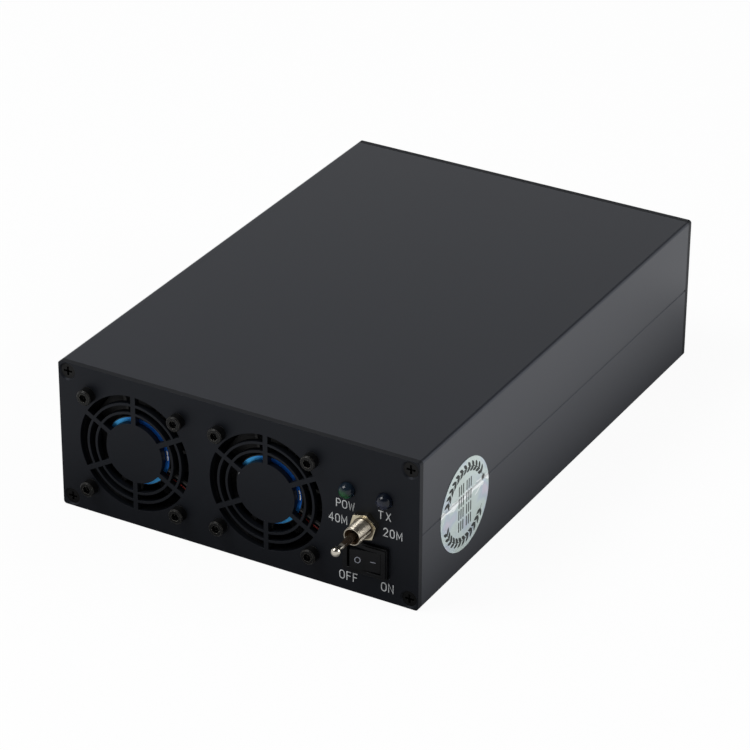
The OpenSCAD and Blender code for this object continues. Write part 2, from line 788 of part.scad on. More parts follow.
// Socket-head screws through the panel and the fan
module fan_screws() color([0.10, 0.10, 0.11]) for (i = [0, 1]) on_front(fan_x[i], mid_z) at_fan_screws() {
    translate([0, 0, -fan_screw_l]) cylinder(r = m3_r, h = fan_screw_l + EPS);
    difference() {
        rotate_extrude() polygon([
            [0, 0], [cap_head_r, 0], [cap_head_r, cap_head_h - cap_head_c],
            [cap_head_r - cap_head_c, cap_head_h], [0, cap_head_h]
        ]);
        translate([0, 0, cap_socket_z]) hexagon(cap_socket_w, cap_head_h);
    }
}

module fan_nuts() color([0.70, 0.71, 0.73]) for (i = [0, 1]) in_fan(i) at_fan_screws()
    translate([0, 0, fan_t]) difference() {
        hexagon(m3_nut_w, m3_nut_t);
        translate([0, 0, -1]) cylinder(r = m3_r + fit_c, h = m3_nut_t + 2);
    }

// Lead along the strut, out at the frame's side and back to the board. s is -1 for the
// lower of a fan's two leads, which is red, and 1 for the upper one.
module fan_lead(i, s) {
    along = [cos(lead_angle), 0, sin(lead_angle)];
    over = [-sin(lead_angle), 0, cos(lead_angle)];
    hub = [fan_x[i], front_y + fan_recess + lead_channel_r, mid_z] + s * lead_gap / 2 * over;
    side_x = fan_x[i] + (fan_s + lead_lane) / 2;
    exit = hub + (side_x - fan_x[i] - 0.4) / cos(lead_angle) * along;
    pad_x = side_x + s * 1.3;
    lead([
        hub + (hub_r - 3.5) * along,
        hub + (duct_r - 4) * along,
        hub + (duct_r - 1) * along,
        exit,
        [side_x, front_y + 5, exit.z],
        [side_x, front_y + fan_t, exit.z],
        [pad_x, front_y + fan_t + 6, exit.z - s * lead_gap / 2 + 2],
        [pad_x, sink_y0 - 7, board_top - 1],
        [pad_x, sink_y0 - 1, board_top + 4],
        [pad_x, sink_y0 + 4, board_top + 3],
        [pad_x, sink_y0 + 5, board_top + 1.5],
        [pad_x, sink_y0 + 5, board_top]
    ], lead_r, 3);
}

module fan_leads_red() color([0.70, 0.08, 0.06]) for (i = [0, 1]) fan_lead(i, -1);

module fan_leads_black() color([0.05, 0.05, 0.05]) for (i = [0, 1]) fan_lead(i, 1);

// ---------------------------------------------------------------- lamps and switches

// Clear round lamp: rim behind the panel, straight lens and domed end
module lamp(x) {
    on_front(x, lamp_z) difference() {
        rotate_extrude() difference() {
            union() {
                translate([0, lamp_out - lamp_r]) circle(r = lamp_r);
                translate([0, lamp_out - lamp_l]) square([lamp_r, lamp_l - lamp_r]);
                translate([0, lamp_out - lamp_l]) square([lamp_r + 0.4, lamp_rim_t]);
            }
            translate([-2 * lamp_r, -2 * lamp_l]) square([2 * lamp_r, 4 * lamp_l]);
        }
        translate([lamp_r + 0.1, -lamp_r, lamp_out - lamp_l - 1]) cube([1, 2 * lamp_r, lamp_rim_t + 1]);
    }
}

module power_lamp() color([0.55, 0.75, 0.62]) lamp(lamp_x[0]);

module transmit_lamp() color([0.62, 0.66, 0.75]) lamp(lamp_x[1]);

module lamp_legs() color([0.75, 0.75, 0.76]) for (x = lamp_x, s = [-1, 1])
    on_front(x + s * lamp_leg_gap / 2, lamp_z) translate([0, 0, lamp_out - lamp_l - lamp_leg_l / 2])
        cube([lamp_leg_w, lamp_leg_w, lamp_leg_l], center = true);

// Case of the toggle switch, with its bracket plate against the panel
module toggle_body() color([0.10, 0.25, 0.55]) on_front(controls_x, toggle_z) difference() {
    union() {
        translate([0, 0, -panel_t - 0.4]) cube([toggle_body_w, toggle_body_h, 0.8], center = true);
        translate([0, 0, -panel_t - toggle_body_l / 2 - 0.4])
            cube([toggle_body_w - 0.6, toggle_body_h - 0.6, toggle_body_l + 0.8], center = true);
    }
    translate([0, 0, -panel_t - 1.8]) cylinder(r = bush_r + fit_c, h = 3);
}

// Threaded bush with the seat of the lever's ball and a flared mouth
module toggle_bush() color([0.72, 0.66, 0.56]) on_front(controls_x, toggle_z) {
    foot = -panel_t - 1.7;
    shoulder_z = lever_pivot + lever_shoulder;
    rotate_extrude() polygon([
        [lever_ball_r + 0.06, foot], [bush_r, foot], [bush_r, bush_out - 0.3], [bush_r - 0.2, bush_out],
        [lever_mouth_r, bush_out], [lever_neck_r, shoulder_z], [lever_ball_r + 0.06, shoulder_z]
    ]);
}

module toggle_nut() color([0.76, 0.70, 0.58]) on_front(controls_x, toggle_z) rotate(14) difference() {
    intersection() {
        hexagon(toggle_nut_w, toggle_nut_t);
        cylinder(r1 = toggle_nut_w, r2 = toggle_nut_w / 2 + 0.3, h = toggle_nut_t + toggle_nut_w / 8);
    }
    translate([0, 0, -1]) cylinder(r = bush_r + fit_c, h = toggle_nut_t + 2);
}

// Lever with the ball that it turns on and the ball at its tip, in one turned piece
module toggle_lever() color([0.72, 0.68, 0.60]) on_front(controls_x, toggle_z) {
    tip_neck = 0.75;
    rotate_extrude() polygon([
        [0, lever_pivot - 4.4], [0.5, lever_pivot - 4.4], [0.7, lever_pivot - 4], [0.7, lever_pivot],
        [lever_r, lever_pivot], [lever_r, bush_out + 1.6], [0.95, bush_out + 5],
        [tip_neck, lever_out - lever_tip_r], [tip_neck, lever_out], [0, lever_out]
    ]);
    translate([0, 0, lever_pivot]) sphere(r = lever_ball_r);
    translate([0, 0, lever_out]) sphere(r = lever_tip_r);
}

// Bezel and body of the rocker switch, with the well that the rocker tilts in
module rocker_housing() color([0.07, 0.07, 0.08]) on_front(rocker_x, rocker_z) difference() {
    union() {
        linear_extrude(bezel_out - 0.5) rounded_rect(bezel_w, bezel_h, 0.5);
        translate([0, 0, bezel_out - 0.5 - EPS]) linear_extrude(0.5 + EPS)
            rounded_rect(bezel_w - 0.8, bezel_h - 0.8, 0.4);
        translate([0, 0, (0.5 - rocker_body_l) / 2])
            cube([rocker_body_w, rocker_body_h, rocker_body_l + 0.5], center = true);
    }
    translate([0, 0, bezel_out])
        cube([paddle_l + 1.2, paddle_h + 2 * paddle_gap, 2 * paddle_well], center = true);
    for (s = [-1, 1]) translate([0, s * paddle_h / 2, paddle_pivot]) rotate([90, 0, 0])
        cylinder(r = paddle_pin_r + run_c, h = 2 * paddle_pin_l, center = true);
}

// Rocker with two flat faces that meet in a shallow dish. At rest its left side stands out.
module rocker_paddle() color([0.08, 0.08, 0.09]) on_front(rocker_x, rocker_z)
    translate([0, 0, paddle_pivot]) rotate([90, rocker_tilt, 0]) {
        end_x = paddle_l / 2;
        top = paddle_rise - paddle_pivot;
        linear_extrude(paddle_h, center = true) {
            polygon([
                [0.3 - end_x, top], [0, top - paddle_dish], [end_x - 0.3, top], [end_x, -0.4],
                [paddle_keel_r, -2.6], [-paddle_keel_r, -2.6], [-end_x, -0.4]
            ]);
            translate([0, -2]) circle(r = paddle_keel_r);
        }
        cylinder(r = paddle_pin_r, h = paddle_h + 2 * (paddle_pin_l - hole_c), center = true);
    }

// Solder tags of the toggle switch, three in a row, and of the rocker switch, two
module switch_tags() color([0.80, 0.80, 0.78]) {
    for (k = [-1 : 1]) on_front(controls_x + k * tag_gap, toggle_z)
        translate([0, 0, -panel_t - toggle_body_l - 0.8 - tag_l / 2])
            cube([tag_t, tag_w, tag_l], center = true);
    for (s = [-1, 1]) on_front(rocker_x + s * rocker_tag_gap / 2, rocker_z)
        translate([0, 0, -rocker_body_l - rocker_tag_l / 2])
            cube([tag_t, rocker_tag_w, rocker_tag_l], center = true);
}

// ---------------------------------------------------------------- heatsink and board

module heatsink() color([0.62, 0.63, 0.65]) {
    fin_h = sink_h - sink_plate_t;
    pitch = (sink_w - 2 * side_fin_t) / (fins + 1);
    difference() {
        union() {
            translate([-sink_w / 2, sink_y0, sink_top - sink_plate_t]) cube([sink_w, board_l, sink_plate_t]);
            for (x = [-sink_w / 2, sink_w / 2 - side_fin_t]) translate([x, sink_y0, wall_t])
                cube([side_fin_t, board_l, fin_h + 1]);
            for (k = [1 : fins]) translate([side_fin_t - sink_w / 2 + k * pitch - fin_t / 2, sink_y0, wall_t])
                cube([fin_t, board_l, fin_h + 1]);
        }
        at_sink_screws() translate([0, 0, wall_t - 1]) cylinder(r = tap_r, h = csk_screw_l + 1);
        at_board_screws(sink_top - tap_depth) cylinder(r = tap_r, h = tap_depth + 1);
        for (x = transistor_x) translate([x, transistor_y + transistor_hole_y, sink_top - tap_depth])
            cylinder(r = tap_r, h = tap_depth + 1);
    }
}

module heatsink_screws() color([0.12, 0.12, 0.13])
    at_sink_screws() translate([0, 0, csk_sink]) rotate([180, 0, 0]) countersunk_screw(csk_screw_l);

module board_spacers() color([0.75, 0.62, 0.30]) at_board_screws(sink_top) difference() {
    hexagon(m3_nut_w, spacer_h);
    translate([0, 0, -1]) cylinder(r = clear_r, h = spacer_h + 2);
}

module circuit_board() color([0.05, 0.30, 0.15]) difference() {
    translate([-board_w / 2, sink_y0, board_top - board_t]) cube([board_w, board_l, board_t]);
    at_board_screws(board_top - 2 * board_t) cylinder(r = clear_r, h = 3 * board_t);
    for (x = transistor_x) translate([x - 6, transistor_y - 5, board_top - 2 * board_t])
        cube([12, 22, 3 * board_t]);
}

module board_screws() color([0.70, 0.71, 0.73]) at_board_screws(board_top) pan_screw(board_screw_l);

// Power transistors, flat on the heatsink in windows of the board
module rf_transistors() color([0.12, 0.12, 0.13])
    for (x = transistor_x) translate([x, transistor_y, sink_top]) difference() {
        union() {
            translate([-5, 0, 0]) cube([10, 9, 4.5]);
            translate([-5, 8, 0]) cube([10, 7.9, transistor_tab_t]);
            for (k = [-1 : 1]) translate([k * 2.54 - 0.4, -4, 2]) {
                cube([0.8, 4.5, 0.6]);
                cube([0.8, 0.6, board_top - sink_top - 1.6]);
            }
        }
        translate([0, transistor_hole_y, -1]) cylinder(r = clear_r, h = 4);
    }

module transistor_screws() color([0.70, 0.71, 0.73]) for (x = transistor_x)
    translate([x, transistor_y + transistor_hole_y, sink_top + transistor_tab_t])
        pan_screw(transistor_tab_t + tap_depth - 0.3);

// Ferrite: a two-hole core for the input transformer and two tubes for the output one
module ferrite_cores() color([0.20, 0.20, 0.21]) {
    translate([0, ferrite_in_y, board_top + ferrite_in_h / 2]) rotate([90, 0, 0])
        linear_extrude(14, center = true) difference() {
            rounded_rect(13.4, ferrite_in_h, 3);
            for (x = [-3, 3]) translate([x, 0]) circle(r = 1.9);
        }
    for (s = [-1, 1]) translate([s * tube_gap / 2, ferrite_out_y, board_top + tube_core_r])
        rotate([-90, 0, 0]) ring(tube_core_r, tube_bore_r, tube_core_l);
}

// Brass tubes and end plates that make the output transformer's first winding
module transformer_tubes() color([0.80, 0.60, 0.30]) {
    translate([0, ferrite_out_y, board_top + tube_core_r]) rotate([-90, 0, 0]) difference() {
        union() {
            for (z = [-end_plate_t, tube_core_l]) translate([0, 0, z + end_plate_t / 2])
                cube([tube_gap + 2 * tube_core_r, 2 * tube_core_r, end_plate_t], center = true);
            for (s = [-1, 1]) translate([s * tube_gap / 2, 0, 0])
                cylinder(r = tube_bore_r - 2 * fit_c, h = tube_core_l);
        }
        for (s = [-1, 1]) translate([s * tube_gap / 2, 0, -end_plate_t - 1])
            cylinder(r = tube_bore_r - 0.6, h = tube_core_l + 2 * end_plate_t + 2);
    }
}

// Filter coils stand on the board in two rows
module at_filter_coils() {
    for (x = filter_x, y = filter_y)
        translate([x, y, board_top + coil_outer_r + coil_stand + coil_wire_r + 0.3]) children();
}

module filter_cores() color([0.85, 0.70, 0.15]) at_filter_coils() rotate([0, 90, 0])
    rotate_extrude() translate([coil_outer_r, 0]) polygon(coil_outline(0));

// Corners round a filter core's eight-sided section, set out by a distance d. X is 0 at
// the core's outside and Y is 0 at the middle of its height.
function coil_outline(d) = let (
        k = coil_chamfer - d * tan(22.5),
        w = coil_outer_r - coil_inner_r,
        h = coil_core_h / 2)
    [[d, h - k], [-k, h + d], [k - w, h + d], [-w - d, h - k],
     [-w - d, k - h], [k - w, -h - d], [-k, -h - d], [d, k - h]];

// One unbroken wire: up from the board, round the core's section once a turn, and down again
function coil_route() = let (
        section = coil_outline(coil_stand),
        steps = coil_turns * len(section),
        first = [coil_open_angle / 2, 360 - coil_open_angle / 2],
        pad_x = coil_outer_r + coil_stand + coil_wire_r + 0.3,
        winding = [for (j = [0 : steps]) let (
                a = first[0] + (first[1] - first[0]) * j / steps,
                p = section[j % len(section)],
                r = coil_outer_r + p.x)
            [r * cos(a), r * sin(a), p.y]])
    concat(
        [[pad_x, winding[0].y, winding[0].z]],
        winding,
        [[pad_x, winding[steps].y, winding[steps].z]]
    );

module filter_windings() color([0.72, 0.36, 0.14]) at_filter_coils() rotate([0, 90, 0])
    wire(coil_route(), coil_wire_r, 6);

module relays() color([0.10, 0.12, 0.16]) for (p = relay_places) translate([p.x, p.y, board_top]) {
    linear_extrude(relay_h) rounded_rect(relay_w, relay_l, 0.8);
    translate([0, 0, relay_h - EPS]) linear_extrude(0.6) rounded_rect(relay_w - 0.8, relay_l - 0.8, 0.6);
}

module electrolytic_capacitors() color([0.08, 0.10, 0.18]) for (y = capacitor_y)
    translate([capacitor_x, y, board_top]) rotate_extrude() polygon([
        [0, 0], [capacitor_r - 0.4, 0], [capacitor_r, 0.4], [capacitor_r, 1.6], [capacitor_r - 0.3, 2],
        [capacitor_r - 0.3, 2.4], [capacitor_r, 2.8], [capacitor_r, capacitor_h - 0.4],
        [capacitor_r - 0.4, capacitor_h], [capacitor_r - 0.9, capacitor_h],
        [capacitor_r - 0.9, capacitor_h - 0.3], [0, capacitor_h - 0.3]
    ]);

// Thin leads of the lamps, the toggle switch and the key jack
module signal_leads() color([0.75, 0.75, 0.72]) {
    for (k = [0 : 3]) signal_lead(
        [lamp_lead_x[k], face_y - lamp_out + lamp_l + lamp_leg_l, lamp_z], 3 - k, sink_y0 + 8, 6);
    for (k = [0 : 2]) signal_lead(
        [controls_x + (k - 1) * tag_gap, front_y + toggle_body_l + 0.8 + tag_l, toggle_z],
        2 - k, sink_y0 + 2.5, 3);
    for (k = [0, 1]) mirror([0, 1, 0]) signal_lead(
        [ptt_x + 2 * k - 1, -(back_y - panel_t - ptt_body_l), ptt_z], 1 - k, 8 - sink_y1, 4);
}

// From a tag or leg back over the board's front edge, and down to a pad at pad_y. outer is how
// many pads of its row lie nearer the board's side, and arch how high it passes over the board.
module signal_lead(from, outer, pad_y, arch) {
    top = board_top + arch;
    pad_x = min(from.x, board_w / 2 - pad_edge - outer * pad_pitch);
    lead([
        from,
        from + [0, 2, 0],
        [(from.x + pad_x) / 2, (2 * from.y + pad_y) / 3, (from.z + 2 * top) / 3],
        [pad_x, pad_y - 1.6, top - 0.6],
        [pad_x, pad_y, top - 1.8],
        [pad_x, pad_y, board_top]
    ], signal_lead_r, 3);
}

module supply_leads() color([0.60, 0.06, 0.05]) {
    dc_y = back_y + dc_pin_end;
    tag_y = face_y + rocker_body_l + rocker_tag_l;
    side_x = (sink_w / 2 + inner_w / 2 - card_slot_d) / 2;
    tag_x = rocker_x + rocker_tag_gap / 2;
    red_x = dc_x + dc_pin_gap / 2;
    black_x = dc_x - dc_pin_gap / 2;
    // From the inlet along the right side to the rocker switch
    lead([
        [red_x, dc_y, dc_z], [red_x, dc_y - 3, dc_z], [red_x + 3, dc_y - 9, dc_z - 1],
        [side_x - 1, sink_y1 + 8, rocker_z + 1], [side_x, sink_y1 + 1, rocker_z], [side_x, 30, rocker_z],
        [side_x, -30, rocker_z], [side_x, sink_y0 + 1, rocker_z], [side_x - 2, sink_y0 - 4, rocker_z],
        [tag_x + 1, sink_y0 - 8, rocker_z], [tag_x, tag_y + 2, rocker_z], [tag_x, tag_y, rocker_z]
    ], supply_lead_r, 3);
    // From the switch's other tag to the board
    tag2_x = rocker_x - rocker_tag_gap / 2;
    between_x = controls_x - tag_gap / 2;
    lead([
        [tag2_x, tag_y, rocker_z], [tag2_x, tag_y + 2, rocker_z], [between_x, sink_y0 - 5, rocker_z + 3],
        [between_x, sink_y0 - 3.2, sink_top - 2], [between_x, sink_y0 - 2, board_top + 2],
        [between_x, sink_y0 + 2, board_top + 7], [between_x, sink_y0 + 9, board_top + 5],
        [between_x, sink_y0 + 10.5, board_top + 2.5], [between_x, sink_y0 + 10.5, board_top]
    ], supply_lead_r, 3);
    // From the inlet's other pin to the board
    lead([
        [black_x, dc_y, dc_z], [black_x, dc_y - 3, dc_z], [black_x, sink_y1 + 13, dc_z + 5],
        [black_x, sink_y1 + 5, board_top + 1], [black_x, sink_y1, board_top + 6],
        [black_x, sink_y1 - 5, board_top + 5], [black_x, sink_y1 - 6.5, board_top + 2.5],
        [black_x, sink_y1 - 6.5, board_top]
    ], supply_lead_r, 3);
}

module coax_leads() color([0.30, 0.20, 0.12]) for (x = rf_x) {
    start = back_y + rf_contact_end;
    lead([
        [x, start, mid_z], [x, start - 3, mid_z], [x, start - 10, mid_z + 1.5],
        [x, sink_y1 + 6, board_top + 3], [x, sink_y1 - 1, board_top + 5],
        [x, sink_y1 - 4, board_top + 2.5], [x, sink_y1 - 4, board_top]
    ], coax_r, 3);
}

// ---------------------------------------------------------------- rear sockets

module at_rf_screws() {
    for (x = [-1, 1], y = [-1, 1]) translate([x * rf_screw_pitch / 2, y * rf_screw_pitch / 2, 0]) children();
}

// Aerial socket: square flange, threaded barrel with a recess round the insulator
module rf_socket(x) color([0.78, 0.79, 0.80]) on_rear(x, mid_z) difference() {
    union() {
        linear_extrude(rf_flange_t) rounded_rect(rf_flange_s, rf_flange_s, 1.5);
        rotate_extrude() polygon([
            [0, -4], [rf_barrel_r, -4], [rf_barrel_r, EPS], [rf_thread_r, EPS],
            [rf_thread_r, rf_out - 0.5], [rf_thread_r - 0.5, rf_out], [0, rf_out]
        ]);
    }
    translate([0, 0, rf_flange_t + 1.6]) cylinder(r = rf_mouth_r, h = rf_out);
    translate([0, 0, -5]) cylinder(r = rf_insulator_r + fit_c, h = rf_out);
    at_rf_screws() translate([0, 0, -1]) cylinder(r = clear_r, h = rf_flange_t + 2);
}

module rf_input_socket() rf_socket(rf_x[0]);

module rf_output_socket() rf_socket(rf_x[1]);

module rf_insulators() color([0.90, 0.89, 0.85]) for (x = rf_x) on_rear(x, mid_z)
    translate([0, 0, -5]) ring(rf_insulator_r, rf_contact_r + fit_c, 4 + rf_out);

// Centre contacts: a bore for the plug's pin, and a solid tail that the coax is soldered to
module rf_contacts() color([0.80, 0.66, 0.35]) for (x = rf_x) on_rear(x, mid_z) difference() {
    rotate_extrude() polygon([
        [0, rf_contact_end], [1.6, rf_contact_end], [1.6, -5], [rf_contact_r, -5],
        [rf_contact_r, rf_out - 0.4], [0, rf_out - 0.4]
    ]);
    translate([0, 0, rf_out - 0.4 - rf_bore_l]) cylinder(r = rf_contact_bore_r, h = rf_bore_l + 1);
}

module rf_socket_screws() color([0.78, 0.79, 0.80]) for (x = rf_x) on_rear(x, mid_z) at_rf_screws()
    translate([0, 0, rf_flange_t]) pan_screw(rf_flange_t + panel_t + 1.5);

// Key jack: threaded bush in front of a moulded body, bored for a 3.5 mm plug
module ptt_jack() color([0.12, 0.12, 0.13]) on_rear(ptt_x, ptt_z) difference() {
    union() {
        translate([0, 0, -panel_t - EPS]) cylinder(r = ptt_bush_r, h = ptt_out + panel_t + EPS);
        translate([0, 0, -panel_t - ptt_body_l / 2]) cube([9, 9, ptt_body_l], center = true);
    }
    translate([0, 0, 1 - panel_t - ptt_body_l]) cylinder(r = ptt_bore_r, h = ptt_out + panel_t + ptt_body_l);
}

module ptt_nut() color([0.78, 0.79, 0.80]) on_rear(ptt_x, ptt_z) difference() {
    hexagon(8, 2);
    translate([0, 0, -1]) cylinder(r = ptt_bush_r + fit_c, h = 4);
}

// Supply inlet: round flanged barrel for a screw-on plug
module dc_inlet() color([0.75, 0.76, 0.78]) on_rear(dc_x, dc_z) difference() {
    rotate_extrude() polygon([
        [dc_insert_r + fit_c, -7], [dc_thread_r, -7], [dc_thread_r, 0], [dc_flange_r, 0],
        [dc_flange_r, dc_flange_t], [dc_thread_r, dc_flange_t], [dc_thread_r, dc_out - 0.4],
        [dc_thread_r - 0.4, dc_out], [dc_mouth_r, dc_out], [dc_mouth_r, dc_floor],
        [dc_insert_r + fit_c, dc_floor]
    ]);
    translate([0, dc_mouth_r, dc_out]) cube([1.6, 1, 8], center = true);
}

module dc_insert() color([0.10, 0.10, 0.10]) on_rear(dc_x, dc_z) difference() {
    translate([0, 0, -6]) cylinder(r = dc_insert_r, h = 6 + dc_floor);
    for (s = [-1, 1]) translate([s * dc_pin_gap / 2, 0, -7]) cylinder(r = dc_pin_r + fit_c, h = 8 + dc_floor);
}

module dc_pins() color([0.82, 0.70, 0.38]) on_rear(dc_x, dc_z) for (s = [-1, 1])
    translate([s * dc_pin_gap / 2, 0, 0]) rotate_extrude() polygon([
        [0, dc_pin_end], [dc_pin_r, dc_pin_end], [dc_pin_r, dc_out - 2], [dc_pin_r - 0.5, dc_out - 1.2],
        [0, dc_out - 1.2]
    ]);

module dc_nut() color([0.75, 0.76, 0.78]) on_rear(dc_x, dc_z) translate([0, 0, -panel_t - dc_nut_t])
    difference() {
        hexagon(2 * dc_thread_r + 3.8, dc_nut_t);
        translate([0, 0, -1]) cylinder(r = dc_thread_r + fit_c, h = dc_nut_t + 2);
    }

lower_shell();
upper_shell();
front_panel();
rear_panel();
panel_screws();
seal_sticker();
fan_left_frame();
fan_right_frame();
fan_labels();
fan_bearings();
fan_stators();
fan_coils();
fan_left_impeller();
fan_right_impeller();
fan_left_magnet();
fan_right_magnet();
fan_left_shaft();
fan_right_shaft();
fan_screws();
fan_nuts();
fan_leads_red();
fan_leads_black();
power_lamp();
transmit_lamp();
lamp_legs();
toggle_body();
toggle_bush();
toggle_nut();
toggle_lever();
rocker_housing();
rocker_paddle();
switch_tags();
heatsink();
heatsink_screws();
board_spacers();
circuit_board();
board_screws();
rf_transistors();
transistor_screws();
ferrite_cores();
transformer_tubes();
filter_cores();
filter_windings();
relays();
electrolytic_capacitors();
signal_leads();
supply_leads();
coax_leads();
rf_input_socket();
rf_output_socket();
rf_insulators();
rf_contacts();
rf_socket_screws();
ptt_jack();
ptt_nut();
dc_inlet();
dc_insert();
dc_pins();
dc_nut();
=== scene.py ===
"""Looks of a small HF linear amplifier: black case, two fans behind grilles, lamps and switches."""

import math

import bmesh
import bpy
from mathutils import Matrix, Vector
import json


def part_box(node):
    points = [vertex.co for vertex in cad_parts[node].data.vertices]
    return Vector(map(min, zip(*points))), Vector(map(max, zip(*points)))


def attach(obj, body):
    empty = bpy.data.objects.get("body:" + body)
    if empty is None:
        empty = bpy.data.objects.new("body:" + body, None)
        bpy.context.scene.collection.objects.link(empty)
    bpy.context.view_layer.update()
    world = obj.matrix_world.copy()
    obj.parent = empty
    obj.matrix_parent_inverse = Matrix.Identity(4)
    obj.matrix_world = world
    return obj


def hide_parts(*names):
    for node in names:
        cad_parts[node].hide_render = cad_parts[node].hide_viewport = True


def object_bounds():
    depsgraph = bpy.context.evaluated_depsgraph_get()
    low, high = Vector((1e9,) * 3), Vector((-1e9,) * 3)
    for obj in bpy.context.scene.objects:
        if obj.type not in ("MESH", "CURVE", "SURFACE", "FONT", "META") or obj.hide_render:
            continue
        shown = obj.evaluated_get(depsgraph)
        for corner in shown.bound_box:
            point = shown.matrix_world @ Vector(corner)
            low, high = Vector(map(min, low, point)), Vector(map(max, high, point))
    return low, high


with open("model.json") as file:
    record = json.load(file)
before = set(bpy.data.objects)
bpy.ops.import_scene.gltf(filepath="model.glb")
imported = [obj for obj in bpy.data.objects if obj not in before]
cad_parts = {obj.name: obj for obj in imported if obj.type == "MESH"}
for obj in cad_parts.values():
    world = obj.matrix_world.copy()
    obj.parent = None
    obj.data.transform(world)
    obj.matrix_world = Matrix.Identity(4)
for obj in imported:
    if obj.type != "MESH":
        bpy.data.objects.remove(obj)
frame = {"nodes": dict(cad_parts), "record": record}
cad_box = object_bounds()
solids = frame["nodes"]
MM = 0.001
SEAM_Z = 25 * MM
UP = Vector((0, 0, 1))


# ---------------------------------------------------------------- camera

# The camera stands to the right of the front, about 1.1 m away and above it, with a long lens.
CAMERA_PLACE = (0.4709, -0.8448, 0.5459)
AZIMUTH = math.radians(29.357)
ELEVATION = math.radians(28.601)
ROLL = math.radians(0.377)
IMAGE_SIDE = 750
FOCAL_PIXELS = 3451.3
SENSOR = 36.0

forward = Vector((
    -math.sin(AZIMUTH) * math.cos(ELEVATION),
    math.cos(AZIMUTH) * math.cos(ELEVATION),
    -math.sin(ELEVATION),
))
right = forward.cross(UP).normalized()
above = right.cross(forward)
camera_x = right * math.cos(ROLL) + above * math.sin(ROLL)
camera_y = above * math.cos(ROLL) - right * math.sin(ROLL)

camera = bpy.data.objects.new("camera", bpy.data.cameras.new("camera"))
bpy.context.scene.collection.objects.link(camera)
camera.data.sensor_width = SENSOR
camera.data.lens = FOCAL_PIXELS * SENSOR / IMAGE_SIDE
camera.data.clip_start = 0.05
camera.data.clip_end = 20
camera.matrix_world = (
    Matrix.Translation(CAMERA_PLACE)
    @ Matrix((camera_x, camera_y, -forward)).transposed().to_4x4()
)
bpy.context.scene.camera = camera
bpy.context.scene.view_settings.view_transform = "Standard"


# ---------------------------------------------------------------- making materials

def colour(code):
    """Linear RGBA of an sRGB hex colour."""
    levels = [int(code[i:i + 2], 16) / 255 for i in (0, 2, 4)]
    return [v / 12.92 if v <= 0.04045 else ((v + 0.055) / 1.055) ** 2.4 for v in levels] + [1.0]


def per(size):
    """Texture scale of a pattern whose features are that many millimetres across."""
    return 1 / (size * MM)


def add(tree, kind, settings=None, links=None):
    """Adds a node. settings gives its properties, links its inputs, as values or other outputs."""
    node = tree.nodes.new(kind)
    for name, value in (settings or {}).items():
        setattr(node, name, value)
    for name, value in (links or {}).items():
        if isinstance(value, bpy.types.NodeSocket):
            tree.links.new(value, node.inputs[name])
        else:
            node.inputs[name].default_value = value
    return node


def finish(name, code, metallic, roughness, **sockets):
    """A new material with its constants on the shader's own sockets.

    Gives the material, its tree, its shader and the coordinates that its patterns use.
    """
    material = bpy.data.materials.new(name)
    material.use_nodes = True
    tree = material.node_tree
    shader = tree.nodes["Principled BSDF"]
    values = {"Base Color": colour(code), "Metallic": metallic, "Roughness": roughness}
    values.update({key.replace("_", " "): value for key, value in sockets.items()})
    for key, value in values.items():
        shader.inputs[key].default_value = value
    place = add(tree, "ShaderNodeTexCoord").outputs["Object"]
    return material, tree, shader, place


def mottle(tree, shader, place, dark, light, size, rough=None, detail=4.0):
    """Uneven tone: noise between two colours, and between two roughnesses where rough is given."""
    cloud = add(tree, "ShaderNodeTexNoise", None, {
        "Vector": place, "Scale": per(size), "Detail": detail})
    tint = add(tree, "ShaderNodeMix", {"data_type": "RGBA"}, {
        "Factor": cloud.outputs["Fac"], "A": colour(dark), "B": colour(light)})
    tree.links.new(tint.outputs["Result"], shader.inputs["Base Color"])
    if rough:
        spread = add(tree, "ShaderNodeMapRange", None, {
            "Value": cloud.outputs["Fac"], "From Min": 0.3, "From Max": 0.7,
            "To Min": rough[0], "To Max": rough[1]})
        tree.links.new(spread.outputs["Result"], shader.inputs["Roughness"])
    return tint


def relief(tree, shader, height, depth, strength=1.0, edge=0.0):
    """Bump of that many millimetres, on top of edges rounded by edge millimetres."""
    bump = add(tree, "ShaderNodeBump", None, {
        "Height": height, "Distance": depth * MM, "Strength": strength})
    if edge:
        soft = add(tree, "ShaderNodeBevel", {"samples": 6}, {"Radius": edge * MM})
        tree.links.new(soft.outputs["Normal"], bump.inputs["Normal"])
    tree.links.new(bump.outputs["Normal"], shader.inputs["Normal"])
    return bump


def stretched(tree, place, factors):
    """Coordinates multiplied along X, Y and Z: a pattern is drawn out along the smallest."""
    mapping = add(tree, "ShaderNodeMapping", None, {"Vector": place, "Scale": factors})
    return mapping.outputs["Vector"]


def set_stops(ramp, tones):
    """Gives a colour ramp its stops, as (position, colour) from the first to the last."""
    stops = ramp.color_ramp.elements
    for stop, (position, code) in ((stops[0], tones[0]), (stops[1], tones[-1])):
        stop.position = position
        stop.color = colour(code)
    for position, code in tones[1:-1]:
        stops.new(position).color = colour(code)


# ---------------------------------------------------------------- metals

